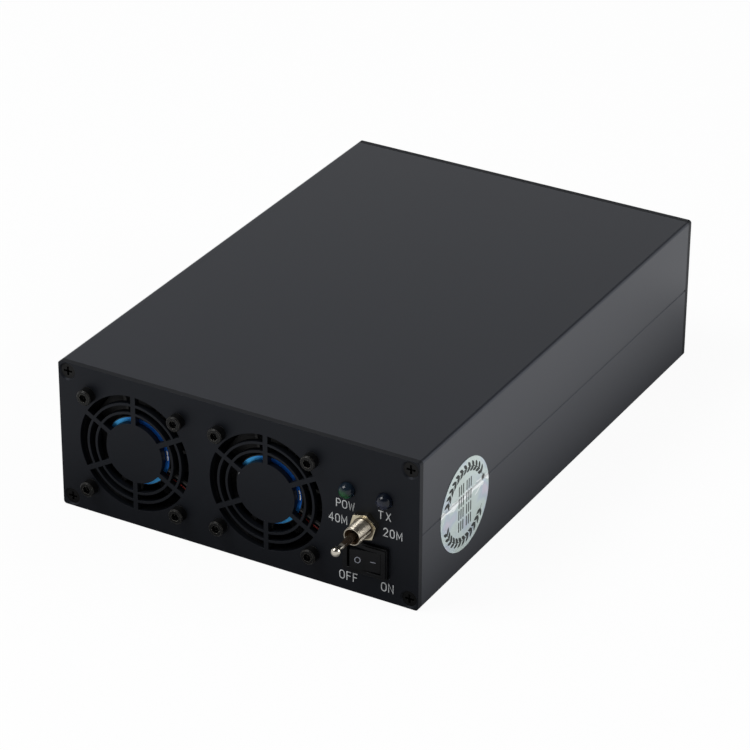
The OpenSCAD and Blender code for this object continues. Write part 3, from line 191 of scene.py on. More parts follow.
def anodised_case():
    """Extruded aluminium, blasted and black anodised: a satin sheen, faint lines lengthways."""
    material, tree, shader, place = finish(
        "black_anodised_extrusion", "15171b", 0.0, 0.36, Specular_Tint=colour("e2eaff"))
    mottle(tree, shader, place, "101318", "17191f", 34, (0.35, 0.37), 3)
    # Extrusion lines run the whole length. They are 0.25 mm wide, coarser than real ones, to show.
    lines = add(tree, "ShaderNodeTexNoise", None, {
        "Vector": stretched(tree, place, (1, 0.006, 1)), "Scale": per(0.25), "Detail": 2.0})
    blast = add(tree, "ShaderNodeTexNoise", None, {
        "Vector": place, "Scale": per(0.18), "Detail": 2.0})
    both = add(tree, "ShaderNodeMix", {"data_type": "FLOAT"}, {
        "Factor": 0.45, "A": lines.outputs["Fac"], "B": blast.outputs["Fac"]})
    bump = relief(tree, shader, both.outputs["Result"], 0.008, 0.5)
    # Where the two halves meet, the upper one overhangs, so that the joint is a dark line.
    height = add(tree, "ShaderNodeSeparateXYZ", None, {"Vector": place})
    overhang = add(tree, "ShaderNodeMapRange", {"interpolation_type": "SMOOTHSTEP"}, {
        "Value": height.outputs["Z"],
        "From Min": SEAM_Z - 0.35 * MM, "From Max": SEAM_Z + 0.35 * MM})
    step = add(tree, "ShaderNodeBump", None, {
        "Height": overhang.outputs["Result"], "Distance": 0.9 * MM})
    soft = add(tree, "ShaderNodeBevel", {"samples": 6}, {"Radius": 0.1 * MM})
    tree.links.new(soft.outputs["Normal"], step.inputs["Normal"])
    tree.links.new(step.outputs["Normal"], bump.inputs["Normal"])
    return material


def painted_panel():
    """Sheet aluminium with a satin black coat: darker than the case, with a grain of 0.2 mm."""
    material, tree, shader, place = finish(
        "satin_black_panel_coat", "0b0c0f", 0.0, 0.5,
        Specular_IOR_Level=0.2, Specular_Tint=colour("e8eeff"))
    mottle(tree, shader, place, "090a0d", "0d1014", 22, (0.46, 0.56), 5)
    grain = add(tree, "ShaderNodeTexNoise", None, {
        "Vector": place, "Scale": per(0.2), "Detail": 3.0})
    relief(tree, shader, grain.outputs["Fac"], 0.01, 0.5, 0.18)
    return material


def plated(name, code, dark, roughness, shaded=None):
    """Electroplated metal: mirror-like but for faint turning marks and a little tarnish.

    shaded is (colour, centre, axes, from, to): painted shade, a tone that takes over where the
    distance from centre, along axes, goes from one length in millimetres to the other; the metallic
    drops there too.
    """
    material, tree, shader, place = finish(name, code, 1.0, roughness)
    tint = mottle(tree, shader, place, dark, code, 1.6, (roughness * 0.8, roughness * 1.35), 5)
    if shaded:
        # Painted shade: the shade tone replaces the plated tint by distance from centre.
        shade_tone, centre, axes, unshaded_at, fully_shaded_at = shaded
        offset = add(tree, "ShaderNodeVectorMath", {"operation": "SUBTRACT"}, {
            0: place, 1: centre})
        flat = add(tree, "ShaderNodeVectorMath", {"operation": "MULTIPLY"}, {
            0: offset.outputs["Vector"], 1: axes})
        reach = add(tree, "ShaderNodeVectorMath", {"operation": "LENGTH"}, {
            0: flat.outputs["Vector"]})
        share = add(tree, "ShaderNodeMapRange", None, {
            "Value": reach.outputs["Value"],
            "From Min": unshaded_at * MM, "From Max": fully_shaded_at * MM})
        tone = add(tree, "ShaderNodeMix", {"data_type": "RGBA"}, {
            "Factor": share.outputs["Result"], "A": tint.outputs["Result"], "B": colour(shade_tone)})
        tree.links.new(tone.outputs["Result"], shader.inputs["Base Color"])
        metal_out_of_shade = add(tree, "ShaderNodeMath", {"operation": "MULTIPLY_ADD"}, {
            0: share.outputs["Result"], 1: -0.7, 2: 1.0})
        tree.links.new(metal_out_of_shade.outputs["Value"], shader.inputs["Metallic"])
    marks = add(tree, "ShaderNodeTexNoise", None, {
        "Vector": stretched(tree, place, (0.25, 3, 0.25)), "Scale": per(0.12), "Detail": 2.0})
    relief(tree, shader, marks.outputs["Fac"], 0.006, 0.35, 0.06)
    return material


def black_oxide(name, dark, light, edge_glint_tone, edge_glint_share):
    """Blackened steel: near black with a low, slightly greasy sheen, and a painted highlight that
    greys its edges.
    """
    material, tree, shader, place = finish(name, light, 0.25, 0.4, Specular_IOR_Level=0.2)
    tint = mottle(tree, shader, place, dark, light, 0.9, (0.32, 0.5), 4)
    # Painted highlight: where the rounded normal turns from the flat one, the colour goes to a
    # lighter tone.
    soft = add(tree, "ShaderNodeBevel", {"samples": 6}, {"Radius": 0.09 * MM})
    flat = add(tree, "ShaderNodeNewGeometry")
    turned = add(tree, "ShaderNodeVectorMath", {"operation": "DOT_PRODUCT"}, {
        0: soft.outputs["Normal"], 1: flat.outputs["Normal"]})
    edge_glint = add(tree, "ShaderNodeMapRange", None, {
        "Value": turned.outputs["Value"], "From Min": 0.995, "From Max": 0.86,
        "To Min": 0.0, "To Max": edge_glint_share})
    glinting = add(tree, "ShaderNodeMix", {"data_type": "RGBA"}, {
        "Factor": edge_glint.outputs["Result"], "A": tint.outputs["Result"],
        "B": colour(edge_glint_tone)})
    tree.links.new(glinting.outputs["Result"], shader.inputs["Base Color"])
    tree.links.new(soft.outputs["Normal"], shader.inputs["Normal"])
    return material


def drawn_metal(name, dark, light, roughness, along=(3, 0.1, 3)):
    """Bare metal with fine drawn or brushed lines along one direction."""
    material, tree, shader, place = finish(name, light, 1.0, roughness)
    lines = add(tree, "ShaderNodeTexNoise", None, {
        "Vector": stretched(tree, place, along), "Scale": per(0.5), "Detail": 3.0})
    tint = add(tree, "ShaderNodeMix", {"data_type": "RGBA"}, {
        "Factor": lines.outputs["Fac"], "A": colour(dark), "B": colour(light)})
    tree.links.new(tint.outputs["Result"], shader.inputs["Base Color"])
    relief(tree, shader, lines.outputs["Fac"], 0.012, 0.4, 0.1)
    return material


# ---------------------------------------------------------------- plastics and the rest

def moulded(name, dark, light, roughness, grain=0.15, depth=0.006, edge=0.15, **sockets):
    """Moulded plastic: even colour, a fine spark-eroded grain and slightly rounded edges."""
    material, tree, shader, place = finish(name, light, 0.0, roughness, **sockets)
    mottle(tree, shader, place, dark, light, 5, (roughness * 0.9, roughness * 1.12), 3)
    pits = add(tree, "ShaderNodeTexNoise", None, {
        "Vector": place, "Scale": per(grain), "Detail": 2.0})
    relief(tree, shader, pits.outputs["Fac"], depth, 0.6, edge)
    return material


def cast_epoxy(name, code, deep, chip_tone, chip_place):
    """Casting resin of a lamp: dark and cloudy while unlit, tinted by its chip, and polished."""
    material, tree, shader, place = finish(
        name, code, 0.0, 0.06, Specular_IOR_Level=0.25, Transmission_Weight=0.12)
    flow = add(tree, "ShaderNodeTexNoise", None, {
        "Vector": place, "Scale": per(1.4), "Detail": 1.0})
    tint = add(tree, "ShaderNodeMix", {"data_type": "RGBA"}, {
        "Factor": flow.outputs["Fac"], "A": colour(code), "B": colour(deep)})
    grains = add(tree, "ShaderNodeTexNoise", None, {
        "Vector": place, "Scale": per(0.5), "Detail": 2.0})
    offset = add(tree, "ShaderNodeVectorMath", {"operation": "DISTANCE"}, {
        0: place, 1: chip_place})
    ragged = add(tree, "ShaderNodeMath", {"operation": "MULTIPLY_ADD"}, {
        0: grains.outputs["Fac"], 1: 1.6 * MM, 2: offset.outputs["Value"]})
    glow = add(tree, "ShaderNodeMapRange", {"interpolation_type": "SMOOTHSTEP"}, {
        "Value": ragged.outputs["Value"], "From Min": 1.9 * MM, "From Max": 3.3 * MM,
        "To Min": 1.0, "To Max": 0.0})
    tone = add(tree, "ShaderNodeMix", {"data_type": "RGBA"}, {
        "Factor": glow.outputs["Result"], "A": tint.outputs["Result"], "B": colour(chip_tone)})
    tree.links.new(tone.outputs["Result"], shader.inputs["Base Color"])
    relief(tree, shader, flow.outputs["Fac"], 0.01, 0.2)
    return material


def fan_foil(centres):
    """Blue metallised label, spun in a circle.

    Painted sheen: two opposite sectors are coloured cyan, standing in for the spun foil's
    highlights, and the rest is deep blue.
    """
    material, tree, shader, place = finish("spun_blue_foil", "0a3fb0", 0.75, 0.32)
    # The two labels share the pattern: each half of the object takes the centre of its own fan.
    split = (centres[0].x + centres[1].x) / 2
    apart = add(tree, "ShaderNodeSeparateXYZ", None, {"Vector": place})
    side = add(tree, "ShaderNodeMath", {"operation": "GREATER_THAN"}, {
        0: apart.outputs["X"], 1: split})
    shift = add(tree, "ShaderNodeMapRange", None, {
        "Value": side.outputs["Value"], "To Min": centres[0].x, "To Max": centres[1].x})
    x = add(tree, "ShaderNodeMath", {"operation": "SUBTRACT"}, {
        0: apart.outputs["X"], 1: shift.outputs["Result"]})
    z = add(tree, "ShaderNodeMath", {"operation": "SUBTRACT"}, {
        0: apart.outputs["Z"], 1: centres[0].z})
    angle = add(tree, "ShaderNodeMath", {"operation": "ARCTAN2"}, {
        0: z.outputs["Value"], 1: x.outputs["Value"]})
    # Painted sheen, brightest at 130 and -50 degrees, anticlockwise from the right
    lobes = add(tree, "ShaderNodeMath", {"operation": "MULTIPLY_ADD"}, {
        0: angle.outputs["Value"], 1: 2.0, 2: math.radians(-2 * 130)})
    wave = add(tree, "ShaderNodeMath", {"operation": "COSINE"}, {0: lobes.outputs["Value"]})
    level = add(tree, "ShaderNodeMapRange", None, {
        "Value": wave.outputs["Value"], "From Min": -1.0, "From Max": 1.0})
    ramp = add(tree, "ShaderNodeValToRGB", None, {"Fac": level.outputs["Result"]})
    set_stops(ramp, ((0.0, "1a68cc"), (0.45, "1862c2"), (0.75, "1c6cbc"), (1.0, "3c98d2")))
    # A plain dark sector on the left
    turned = add(tree, "ShaderNodeMath", {"operation": "ABSOLUTE"}, {0: angle.outputs["Value"]})
    dark_sector = add(tree, "ShaderNodeMath", {"operation": "GREATER_THAN"}, {
        0: turned.outputs["Value"], 1: math.radians(150)})
    tone = add(tree, "ShaderNodeMix", {"data_type": "RGBA"}, {
        "Factor": dark_sector.outputs["Value"], "A": ramp.outputs["Color"], "B": colour("070d18")})
    tree.links.new(tone.outputs["Result"], shader.inputs["Base Color"])
    # Spun lines: rings 0.15 mm apart
    line = add(tree, "ShaderNodeCombineXYZ", None, {
        "X": x.outputs["Value"], "Y": z.outputs["Value"], "Z": 0.0})
    radius = add(tree, "ShaderNodeVectorMath", {"operation": "LENGTH"}, {
        0: line.outputs["Vector"]})
    rings = add(tree, "ShaderNodeTexNoise", {"noise_dimensions": "1D"}, {
        "W": radius.outputs["Value"], "Scale": per(0.15), "Detail": 2.0})
    relief(tree, shader, rings.outputs["Fac"], 0.01, 0.5)
    return material


def seal_foil(centre):
    """Silvered film with a faint rainbow sheen, lightly creased where it crosses the seam, with
    painted highlights along the crease and a painted shadow where it lifts.
    """
    material, tree, shader, place = finish(
        "silvered_film", "c9d6d6", 0.35, 0.34, Coat_Weight=0.4, Coat_Roughness=0.12)
    drift = add(tree, "ShaderNodeTexNoise", None, {
        "Vector": place, "Scale": per(9), "Detail": 1.5})
    ramp = add(tree, "ShaderNodeValToRGB", None, {"Fac": drift.outputs["Fac"]})
    set_stops(ramp, ((0.3, "c6d4ce"), (0.5, "cbdad8"), (0.6, "bccad6"), (0.72, "cfccda")))
    apart = add(tree, "ShaderNodeSeparateXYZ", None, {"Vector": place})
    off = add(tree, "ShaderNodeMath", {"operation": "SUBTRACT"}, {
        0: apart.outputs["Z"], 1: SEAM_Z})
    near = add(tree, "ShaderNodeMath", {"operation": "ABSOLUTE"}, {0: off.outputs["Value"]})
    crease = add(tree, "ShaderNodeMapRange", {"interpolation_type": "SMOOTHSTEP"}, {
        "Value": near.outputs["Value"], "From Min": 0.0, "From Max": 1.0 * MM,
        "To Min": -1.0, "To Max": 0.0})
    # Painted highlight: slanted patches along the crease are whiter, standing in for glints on the
    # folds.
    patches = add(tree, "ShaderNodeTexNoise", None, {
        "Vector": stretched(tree, place, (1, 0.5, 1)),
        "Scale": per(2.6), "Detail": 1.0, "Distortion": 1.2})
    band = add(tree, "ShaderNodeMapRange", {"interpolation_type": "SMOOTHSTEP"}, {
        "Value": near.outputs["Value"], "From Min": 0.4 * MM, "From Max": 2.2 * MM,
        "To Min": 0.62, "To Max": 0.25})
    crease_glint = add(tree, "ShaderNodeMath", {"operation": "LESS_THAN"}, {
        0: patches.outputs["Fac"], 1: band.outputs["Result"]})
    whiter = add(tree, "ShaderNodeMix", {"data_type": "RGBA"}, {
        "Factor": crease_glint.outputs["Value"], "A": ramp.outputs["Color"], "B": colour("f2f8f8")})
    # Painted shadow: a small dark spot under the film's lifted edge, where it bridges the joint
    # near the rear
    lift_shadow_place = (centre.x, -52.7 * MM, SEAM_Z + 1.2 * MM)
    lift_shadow_distance = add(tree, "ShaderNodeVectorMath", {"operation": "DISTANCE"}, {0: place, 1: lift_shadow_place})
    lift_shadow = add(tree, "ShaderNodeMapRange", {"interpolation_type": "SMOOTHSTEP"}, {
        "Value": lift_shadow_distance.outputs["Value"], "From Min": 0.6 * MM, "From Max": 1.3 * MM,
        "To Min": 1.0, "To Max": 0.0})
    marked = add(tree, "ShaderNodeMix", {"data_type": "RGBA"}, {
        "Factor": lift_shadow.outputs["Result"], "A": whiter.outputs["Result"],
        "B": colour("0a0e0e")})
    tree.links.new(marked.outputs["Result"], shader.inputs["Base Color"])
    # The film wrinkles more towards its front and rear rim.
    ends = add(tree, "ShaderNodeMath", {"operation": "SUBTRACT"}, {
        0: apart.outputs["Y"], 1: centre.y})
    away = add(tree, "ShaderNodeMath", {"operation": "ABSOLUTE"}, {0: ends.outputs["Value"]})
    far = add(tree, "ShaderNodeMapRange", {"interpolation_type": "SMOOTHSTEP"}, {
        "Value": away.outputs["Value"], "From Min": 8 * MM, "From Max": 14 * MM,
        "To Min": 0.1, "To Max": 1.0})
    folds = add(tree, "ShaderNodeTexNoise", None, {
        "Vector": stretched(tree, place, (1, 1, 0.45)),
        "Scale": per(2.2), "Detail": 2.0, "Distortion": 0.6})
    height = add(tree, "ShaderNodeMath", {"operation": "MULTIPLY_ADD"}, {
        0: folds.outputs["Fac"], 1: far.outputs["Result"], 2: crease.outputs["Result"]})
    relief(tree, shader, height.outputs["Value"], 0.3, 0.9)
    return material


def solder_mask():
    """Green lacquer over copper: the tracks show as slightly raised, lighter areas 3 mm wide."""
    material, tree, shader, place = finish(
        "green_solder_mask", "14562f", 0.0, 0.3, Coat_Weight=0.3)
    tracks = add(tree, "ShaderNodeTexBrick", {"offset": 0.37, "squash": 1.6}, {
        "Vector": place, "Scale": per(12), "Color1": colour("1c6a3a"), "Color2": colour("1a6236"),
        "Mortar": colour("0f4526"), "Mortar Size": 0.05, "Brick Width": 0.9, "Row Height": 0.35})
    tree.links.new(tracks.outputs["Color"], shader.inputs["Base Color"])
    relief(tree, shader, tracks.outputs["Fac"], -0.035, 0.8, 0.1)
    return material


def printed_ink(name, code):
    """Screen-printed ink: matt, a little uneven in cover, and slightly proud of its ground."""
    material, tree, shader, place = finish(name, code, 0.0, 0.55)
    mesh_marks = add(tree, "ShaderNodeTexNoise", None, {
        "Vector": place, "Scale": per(0.3), "Detail": 3.0})
    cover = add(tree, "ShaderNodeMapRange", None, {
        "Value": mesh_marks.outputs["Fac"], "From Min": 0.3, "From Max": 0.7,
        "To Min": 0.78, "To Max": 1.0})
    tint = add(tree, "ShaderNodeVectorMath", {"operation": "SCALE"}, {
        0: colour(code)[:3], "Scale": cover.outputs["Result"]})
    tree.links.new(tint.outputs["Vector"], shader.inputs["Base Color"])
    relief(tree, shader, mesh_marks.outputs["Fac"], 0.004, 0.5)
    return material


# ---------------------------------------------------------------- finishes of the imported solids

hubs = [sum(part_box(f"fan_{s}_shaft"), Vector()) / 2 for s in ("left", "right")]


def chip_of(node):
    """Place in a lamp's lens that takes the chip's colour: low, near the front."""
    low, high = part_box(node)
    return Vector(((low.x + high.x) / 2, low.y + 0.8 * MM, (low.z + high.z) / 2 - 0.9 * MM))


seal_low, seal_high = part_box("seal_sticker")
seal_centre = (seal_low + seal_high) / 2

FINISHES = {
    "case_anodised": anodised_case(),
    "panel_black": painted_panel(),
    # The cap screws' last two values are the tone and share of their painted edge highlight.
    "screw_black": black_oxide("black_oxide_steel", "0a0a0b", "121212", "9a988f", 0.7),
    "seal_foil": seal_foil(seal_centre),
    "fan_plastic": moulded("black_pbt", "070708", "0c0c0e", 0.42, 0.2, Specular_IOR_Level=0.3),
    "fan_label_foil": fan_foil(hubs),
    "bearing_bronze": plated("sintered_bronze", "b08a4a", "7d5f30", 0.45),
    "motor_steel": drawn_metal("stamped_electrical_steel", "6d7074", "8c9094", 0.35),
    "copper_wire": drawn_metal("enamelled_copper", "8a3d18", "c0622c", 0.25, (2, 2, 2)),
    "magnet": moulded("bonded_ferrite", "2c2826", "3a3532", 0.7, 0.3),
    "steel": plated("zinc_plated_steel", "c2c6cc", "9aa0a8", 0.28),
    "lead_red": moulded("red_pvc", "b42a24", "cf4038", 0.4, 0.8, 0.01, 0),
    "lead_black": moulded("black_pvc", "0e0e0f", "171718", 0.4, 0.8, 0.01, 0),
    "lamp_green": cast_epoxy(
        "green_lamp_epoxy", "18272f", "151c2b", "0f4a25", chip_of("power_lamp")),
    "lamp_clear": cast_epoxy(
        "blue_lamp_epoxy", "111722", "0d121c", "1f2436", chip_of("transmit_lamp")),
    "tinned": plated("tinned_brass", "c9cbcc", "9da0a2", 0.3),
    "toggle_case": moulded("blue_phenolic", "123062", "1b438a", 0.35, 0.3),
    "nickel": plated("bright_nickel", "cdc6b8", "9a9285", 0.14),
    "switch_plastic": moulded(
        "black_nylon", "08090b", "0d0e11", 0.36, 0.22, 0.008, 0.2, Specular_IOR_Level=0.18),
    "bare_aluminium": drawn_metal("mill_finish_extrusion", "a0a3a6", "c4c6c8", 0.34),
    "brass": plated("turned_brass", "c9a355", "8f713a", 0.26),
    "board_green": solder_mask(),
    "transistor_black": moulded("filled_epoxy", "1a1a1c", "242427", 0.6, 0.12),
    "ferrite": moulded("sintered_ferrite", "222225", "303034", 0.55, 0.25, 0.02),
    "core_yellow": moulded("yellow_epoxy_coat", "b98d14", "d9ad22", 0.35, 0.5, 0.02),
    "relay_black": moulded("black_pbt_relay", "15171c", "1f2229", 0.3, 0.3),
    "capacitor_sleeve": moulded("shrink_sleeve", "0d1226", "161d3c", 0.22, 0.9, 0.01),
    "lead_grey": moulded("grey_pvc", "77777a", "939394", 0.38, 0.8, 0.01, 0),
    "coax_brown": moulded("brown_fep", "4d2c17", "6b3f22", 0.2, 0.8, 0.01, 0),
    "socket_nickel": plated("dull_nickel", "cfccc4", "9c9992", 0.27),
    "insulator_white": moulded(
        "white_ptfe", "d6d4ca", "e8e6de", 0.45, 0.4, 0.01, 0.1,
        Subsurface_Weight=0.1, Subsurface_Scale=0.002),
    "gold_contact": plated("gold_flash", "d9b765", "a5853f", 0.2),
}

for entry in frame["record"]["subparts"]:
    solid = solids[entry["node"]]
    solid.data.materials.clear()
    solid.data.materials.append(FINISHES[entry["material_slot"]])

# The countersunk screws are blacker than the cap screws, with a fainter painted edge highlight.
solids["panel_screws"].data.materials[0] = black_oxide(
    "black_zinc_screw", "040405", "080809", "2c2b2a", 0.3)

# The toggle's plated pieces differ by painted shade: a darker bore, a shaft darker away from its
# bright ball, and a nut face darker towards the bush, so that its rim, most at the upper left, is a
# painted highlight.
toggle_axis = sum(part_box("toggle_bush"), Vector()) / 2
bush_nickel = plated("bush_nickel", "d2cbbd", "9a9283", 0.31, (
    "54402c", toggle_axis, (1, 0, 1), 2.55, 2.4))
solids["toggle_lever"].data.materials[0] = plated("lever_nickel", "d6d2c8", "a39c8e", 0.09, (
    "30271f", toggle_axis - Vector((0, 14.9 * MM, 0)), (0, 1, 0), 1.9, 3.5))
solids["toggle_nut"].data.materials[0] = plated("nut_nickel", "d6ceb8", "b3a98f", 0.17, (
    "5c5140", toggle_axis + Vector((0.2 * MM, 0, -0.2 * MM)), (1, 0, 1), 3.65, 3.4))


# ---------------------------------------------------------------- making pieces

def mesh_of(name, build):
    """A mesh that build(bm) fills in."""
    bm = bmesh.new()
    build(bm)
    bmesh.ops.recalc_face_normals(bm, faces=bm.faces)
    mesh = bpy.data.meshes.new(name)
    bm.to_mesh(mesh)
    bm.free()
    return mesh


def piece(name, build, material, body):
    """A smooth object built by build(bm), which rides on a body and has the given material."""
    mesh = mesh_of(name, build)
    obj = bpy.data.objects.new(name, mesh)
    bpy.context.scene.collection.objects.link(obj)
    mesh.materials.append(material)
    for face in mesh.polygons:
        face.use_smooth = True
    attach(obj, body)
    return obj


def grid(bm, rows, closed_rows=True, closed_columns=False):
    """Faces between rows of points. Rows close on themselves; the last may join the first."""
    made = [[bm.verts.new(p) for p in row] for row in rows]
    count = len(made[0])
    for i in range(len(made) if closed_columns else len(made) - 1):
        a, b = made[i], made[(i + 1) % len(made)]
        for k in range(count if closed_rows else count - 1):
            bm.faces.new((a[k], a[(k + 1) % count], b[(k + 1) % count], b[k]))
    return made


def circle(centre, radius, steps):
    """Points round an axis along Y. radius is a length, or gives one for each share of a turn."""
    points = []
    for k in range(steps):
        r = radius(k / steps) if callable(radius) else radius
        t = 2 * math.pi * k / steps
        points.append(centre + Vector((r * math.cos(t), 0, r * math.sin(t))))
    return points


def arc(cx, cy, rx, ry, start, end, steps=8):
    """Points on part of an ellipse, in degrees anticlockwise from the right."""
    turn = [math.radians(start + (end - start) * k / steps) for k in range(steps + 1)]
    return [(cx + rx * math.cos(t), cy + ry * math.sin(t)) for t in turn]


INK_LIFT = 0.025 * MM
FINE_STROKE = 0.26 * MM
# Section of an ink line: shares of its half width, and of its lift
INK_SECTION = ((-1, 0), (-0.7, 0.7), (0, 1), (0.7, 0.7), (1, 0))
TIP_TURNS = [math.radians(t) for t in (35, 65, 88)]


def strokes(bm, lines, width, to_world):
    """Round-ended ink lines through flat points. to_world places a point (x, y, height)."""
    half = width / 2
    for line in lines:
        points = [Vector((p[0], p[1])) for p in line]
        closed = (points[0] - points[-1]).length < 1e-9
        if closed:
            points.pop()
        n = len(points)
        rows = []
        for i, p in enumerate(points):
            before = points[i - 1] if i or closed else points[i] * 2 - points[i + 1]
            after = points[(i + 1) % n] if i < n - 1 or closed else points[i] * 2 - points[i - 1]
            a, b = (p - before).normalized(), (after - p).normalized()
            along = (a + b).normalized()
            side = Vector((-along.y, along.x))
            miter = half / max(0.5, side.dot(Vector((-a.y, a.x))))
            rows.append([to_world(*(p + side * u * miter), v * INK_LIFT) for u, v in INK_SECTION])
        if not closed:
            for end in (0, -1):
                p = points[end]
                along = (p - points[-2 if end else 1]).normalized()
                side = Vector((-along.y, along.x)) * (1 if end else -1)
                tips = []
                for t in TIP_TURNS:
                    ahead = p + along * half * math.sin(t)
                    across = side * half * math.cos(t)
                    tips.append([to_world(*(ahead + across * u), v * INK_LIFT * math.cos(t))
                                 for u, v in INK_SECTION])
                rows = rows + tips if end else tips[::-1] + rows
        grid(bm, rows, False, closed)


# ---------------------------------------------------------------- lettering

def bowls(rx, ry):
    """Closed outline of a round letter on a height of 1: two half ellipses and straight sides."""
    return arc(rx, 1 - ry, rx, ry, 0, 180) + arc(rx, ry, rx, ry, 180, 360) + [(2 * rx, 1 - ry)]


# A plain single-stroke alphabet: each letter is its width and its lines, on a height of 1.
LETTERS = {
    "P": (0.56, [[(0, 0), (0, 1), (0.3, 1)] + arc(0.3, 0.74, 0.26, 0.26, 90, -90) + [(0, 0.48)]]),
    "O": (0.6, [bowls(0.3, 0.32)]),
    "0": (0.52, [bowls(0.26, 0.3)]),
    "W": (0.74, [[(0, 1), (0.18, 0), (0.37, 0.82), (0.56, 0), (0.74, 1)]]),
    "T": (0.6, [[(0, 1), (0.6, 1)], [(0.3, 1), (0.3, 0)]]),
    "X": (0.58, [[(0, 0), (0.58, 1)], [(0, 1), (0.58, 0)]]),
    "4": (0.58, [[(0.43, 0), (0.43, 1), (0, 0.3), (0.58, 0.3)]]),
    "2": (0.54, [arc(0.27, 0.72, 0.26, 0.28, 165, -20) + [(0, 0), (0.54, 0)]]),
    "M": (0.66, [[(0, 0), (0, 1), (0.33, 0.22), (0.66, 1), (0.66, 0)]]),
    "N": (0.56, [[(0, 0), (0, 1), (0.56, 0), (0.56, 1)]]),
    "F": (0.5, [[(0, 0), (0, 1), (0.5, 1)], [(0, 0.53), (0.42, 0.53)]]),
}
NARROWED = 0.95
LETTER_STROKE = 0.32

# Each word's left and right ends and its bottom and top, in millimetres
WORDS = (
    ("POW", 34.61, 40.95, 27.70, 30.59),
    ("TX", 48.78, 53.12, 27.74, 30.63),
    ("40M", 32.10, 38.44, 22.30, 25.30),
    ("20M", 50.52, 56.95, 22.30, 25.30),
    ("OFF", 35.76, 42.04, 3.35, 6.45),
    ("ON", 49.95, 54.19, 3.35, 6.45),
)
panel_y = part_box("front_panel")[0].y


def front_words(bm):
    """The words on the front panel, each fitted between its ends."""
    for text, left, right_end, bottom, top in WORDS:
        height = (top - bottom - LETTER_STROKE) * MM
        base = (bottom + LETTER_STROKE / 2) * MM
        natural = sum(LETTERS[c][0] for c in text) * height * NARROWED
        gap = ((right_end - left - LETTER_STROKE) * MM - natural) / (len(text) - 1)
        x = (left + LETTER_STROKE / 2) * MM
        for c in text:
            wide, lines = LETTERS[c]
            placed = [[(x + px * height * NARROWED, base + py * height) for px, py in line]
                      for line in lines]
            strokes(bm, placed, LETTER_STROKE * MM,
                    lambda u, v, h: Vector((u, panel_y - h, v)))
            x += wide * height * NARROWED + gap


piece("front_lettering", front_words, printed_ink("pale_grey_screen_ink", "c4c6c6"),
      "case")

# Short bright marks near the rim of each fan's label: radius, first and last angle in degrees, and
# width
LABEL_MARKS = ((10.6, -1, 6, 0.6), (10.6, 9.5, 14, 0.6), (10.75, 163, 168, 0.3))
label_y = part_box("fan_labels")[0].y


def label_marks(bm):
    for hub in hubs:
        for radius, first, last, width in LABEL_MARKS:
            mark = arc(hub.x, hub.z, radius * MM, radius * MM, first, last)
            strokes(bm, [mark], width * MM, lambda u, v, h: Vector((u, label_y - h, v)))


piece("label_marks", label_marks, plated("bright_label_mark_metal", "f2f4f6", "d6dade", 0.3),
      "case")

# Ring and dash on the two faces of the rocker, which meet in a shallow dish. The rocker's axis
# lies PADDLE_AXIS behind the panel's face, and its rim PADDLE_TOP in front of that axis.
rocker_low, rocker_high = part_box("rocker_housing")
PADDLE_AXIS = 1.0 * MM
rocker_centre = Vector((
    (rocker_low.x + rocker_high.x) / 2, panel_y + PADDLE_AXIS,
    (rocker_low.z + rocker_high.z) / 2))
ROCKER_TILT = math.radians(12)
PADDLE_TOP = 3.4 * MM
PADDLE_DISH = 0.5 * MM
PADDLE_HALF = 4.8 * MM


def on_rocker(u, v, h):
    """World place of a point on the rocker's face: u to the right, v up, h out of the face."""
    out = PADDLE_TOP - PADDLE_DISH + abs(u) / PADDLE_HALF * PADDLE_DISH + h
    x = u * math.cos(ROCKER_TILT) + out * math.sin(ROCKER_TILT)
    y = -u * math.sin(ROCKER_TILT) + out * math.cos(ROCKER_TILT)
    return rocker_centre + Vector((x, -y, v))


def rocker_marks(bm):
    ring = arc(-2.4 * MM, 0, 0.8 * MM, 0.95 * MM, 0, 360, 20)
    dash = [(1.6 * MM, 0), (3.1 * MM, 0)]
    strokes(bm, [ring, dash], FINE_STROKE, on_rocker)


piece("rocker_marks", rocker_marks, printed_ink("dim_grey_pad_ink", "8f929c"),
      "rocker")


# ---------------------------------------------------------------- toggle bush

THREAD_PITCH = 0.6 * MM
THREAD_DEPTH = 0.19 * MM
THREAD_STEPS = 8
BUSH_STEPS = 72
THREAD_RUNOUT = 0.5 * MM
BUSH_CHAMFER = 0.25 * MM
KEYWAY_HALF = 0.42 * MM
KEYWAY_DEPTH = 0.62 * MM
# Mouth, neck and ball seat from the front end inwards: radius and distance, in millimetres
BUSH_BORE = ((2.5, 0), (2.46, 0.06), (1.62, 3.72), (1.6, 3.74), (1.96, 3.8), (1.96, 12))


def toggle_bush(bm):
    """Threaded bush with a keyway on its right side, a flared mouth and the seat of the ball."""
    low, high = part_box("toggle_bush")
    centre = (low + high) / 2
    outer = (high.x - low.x) / 2
    length = high.y - low.y
    steps = int(length / THREAD_PITCH * THREAD_STEPS)

    def ring(radius, out):
        return circle(Vector((centre.x, high.y - out, centre.z)), radius, BUSH_STEPS)

    rows = []
    for i in range(steps + 1):
        out = length * i / steps
        fade = min(1, (length - out) / THREAD_RUNOUT)

        def radius_at(turn):
            # A rounded vee thread, which runs out into the chamfer at the front end
            groove = 1 - abs(2 * ((out / THREAD_PITCH - turn) % 1) - 1)
            r = outer - THREAD_DEPTH * fade * groove ** 0.9 - BUSH_CHAMFER * (1 - fade)
            across = abs(math.sin(2 * math.pi * turn)) * r
            if math.cos(2 * math.pi * turn) > 0 and across < KEYWAY_HALF:
                r = min(r, outer - KEYWAY_DEPTH)
            return r

        rows.append(ring(radius_at, out))
    for r, out in BUSH_BORE:
        rows.append(ring(r * MM, max(0.0, length - out * MM)))
    grid(bm, rows, True, True)


bush = piece("toggle_bush_threaded", toggle_bush, bush_nickel, "case")
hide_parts("toggle_bush")


# ---------------------------------------------------------------- threads of the rear sockets

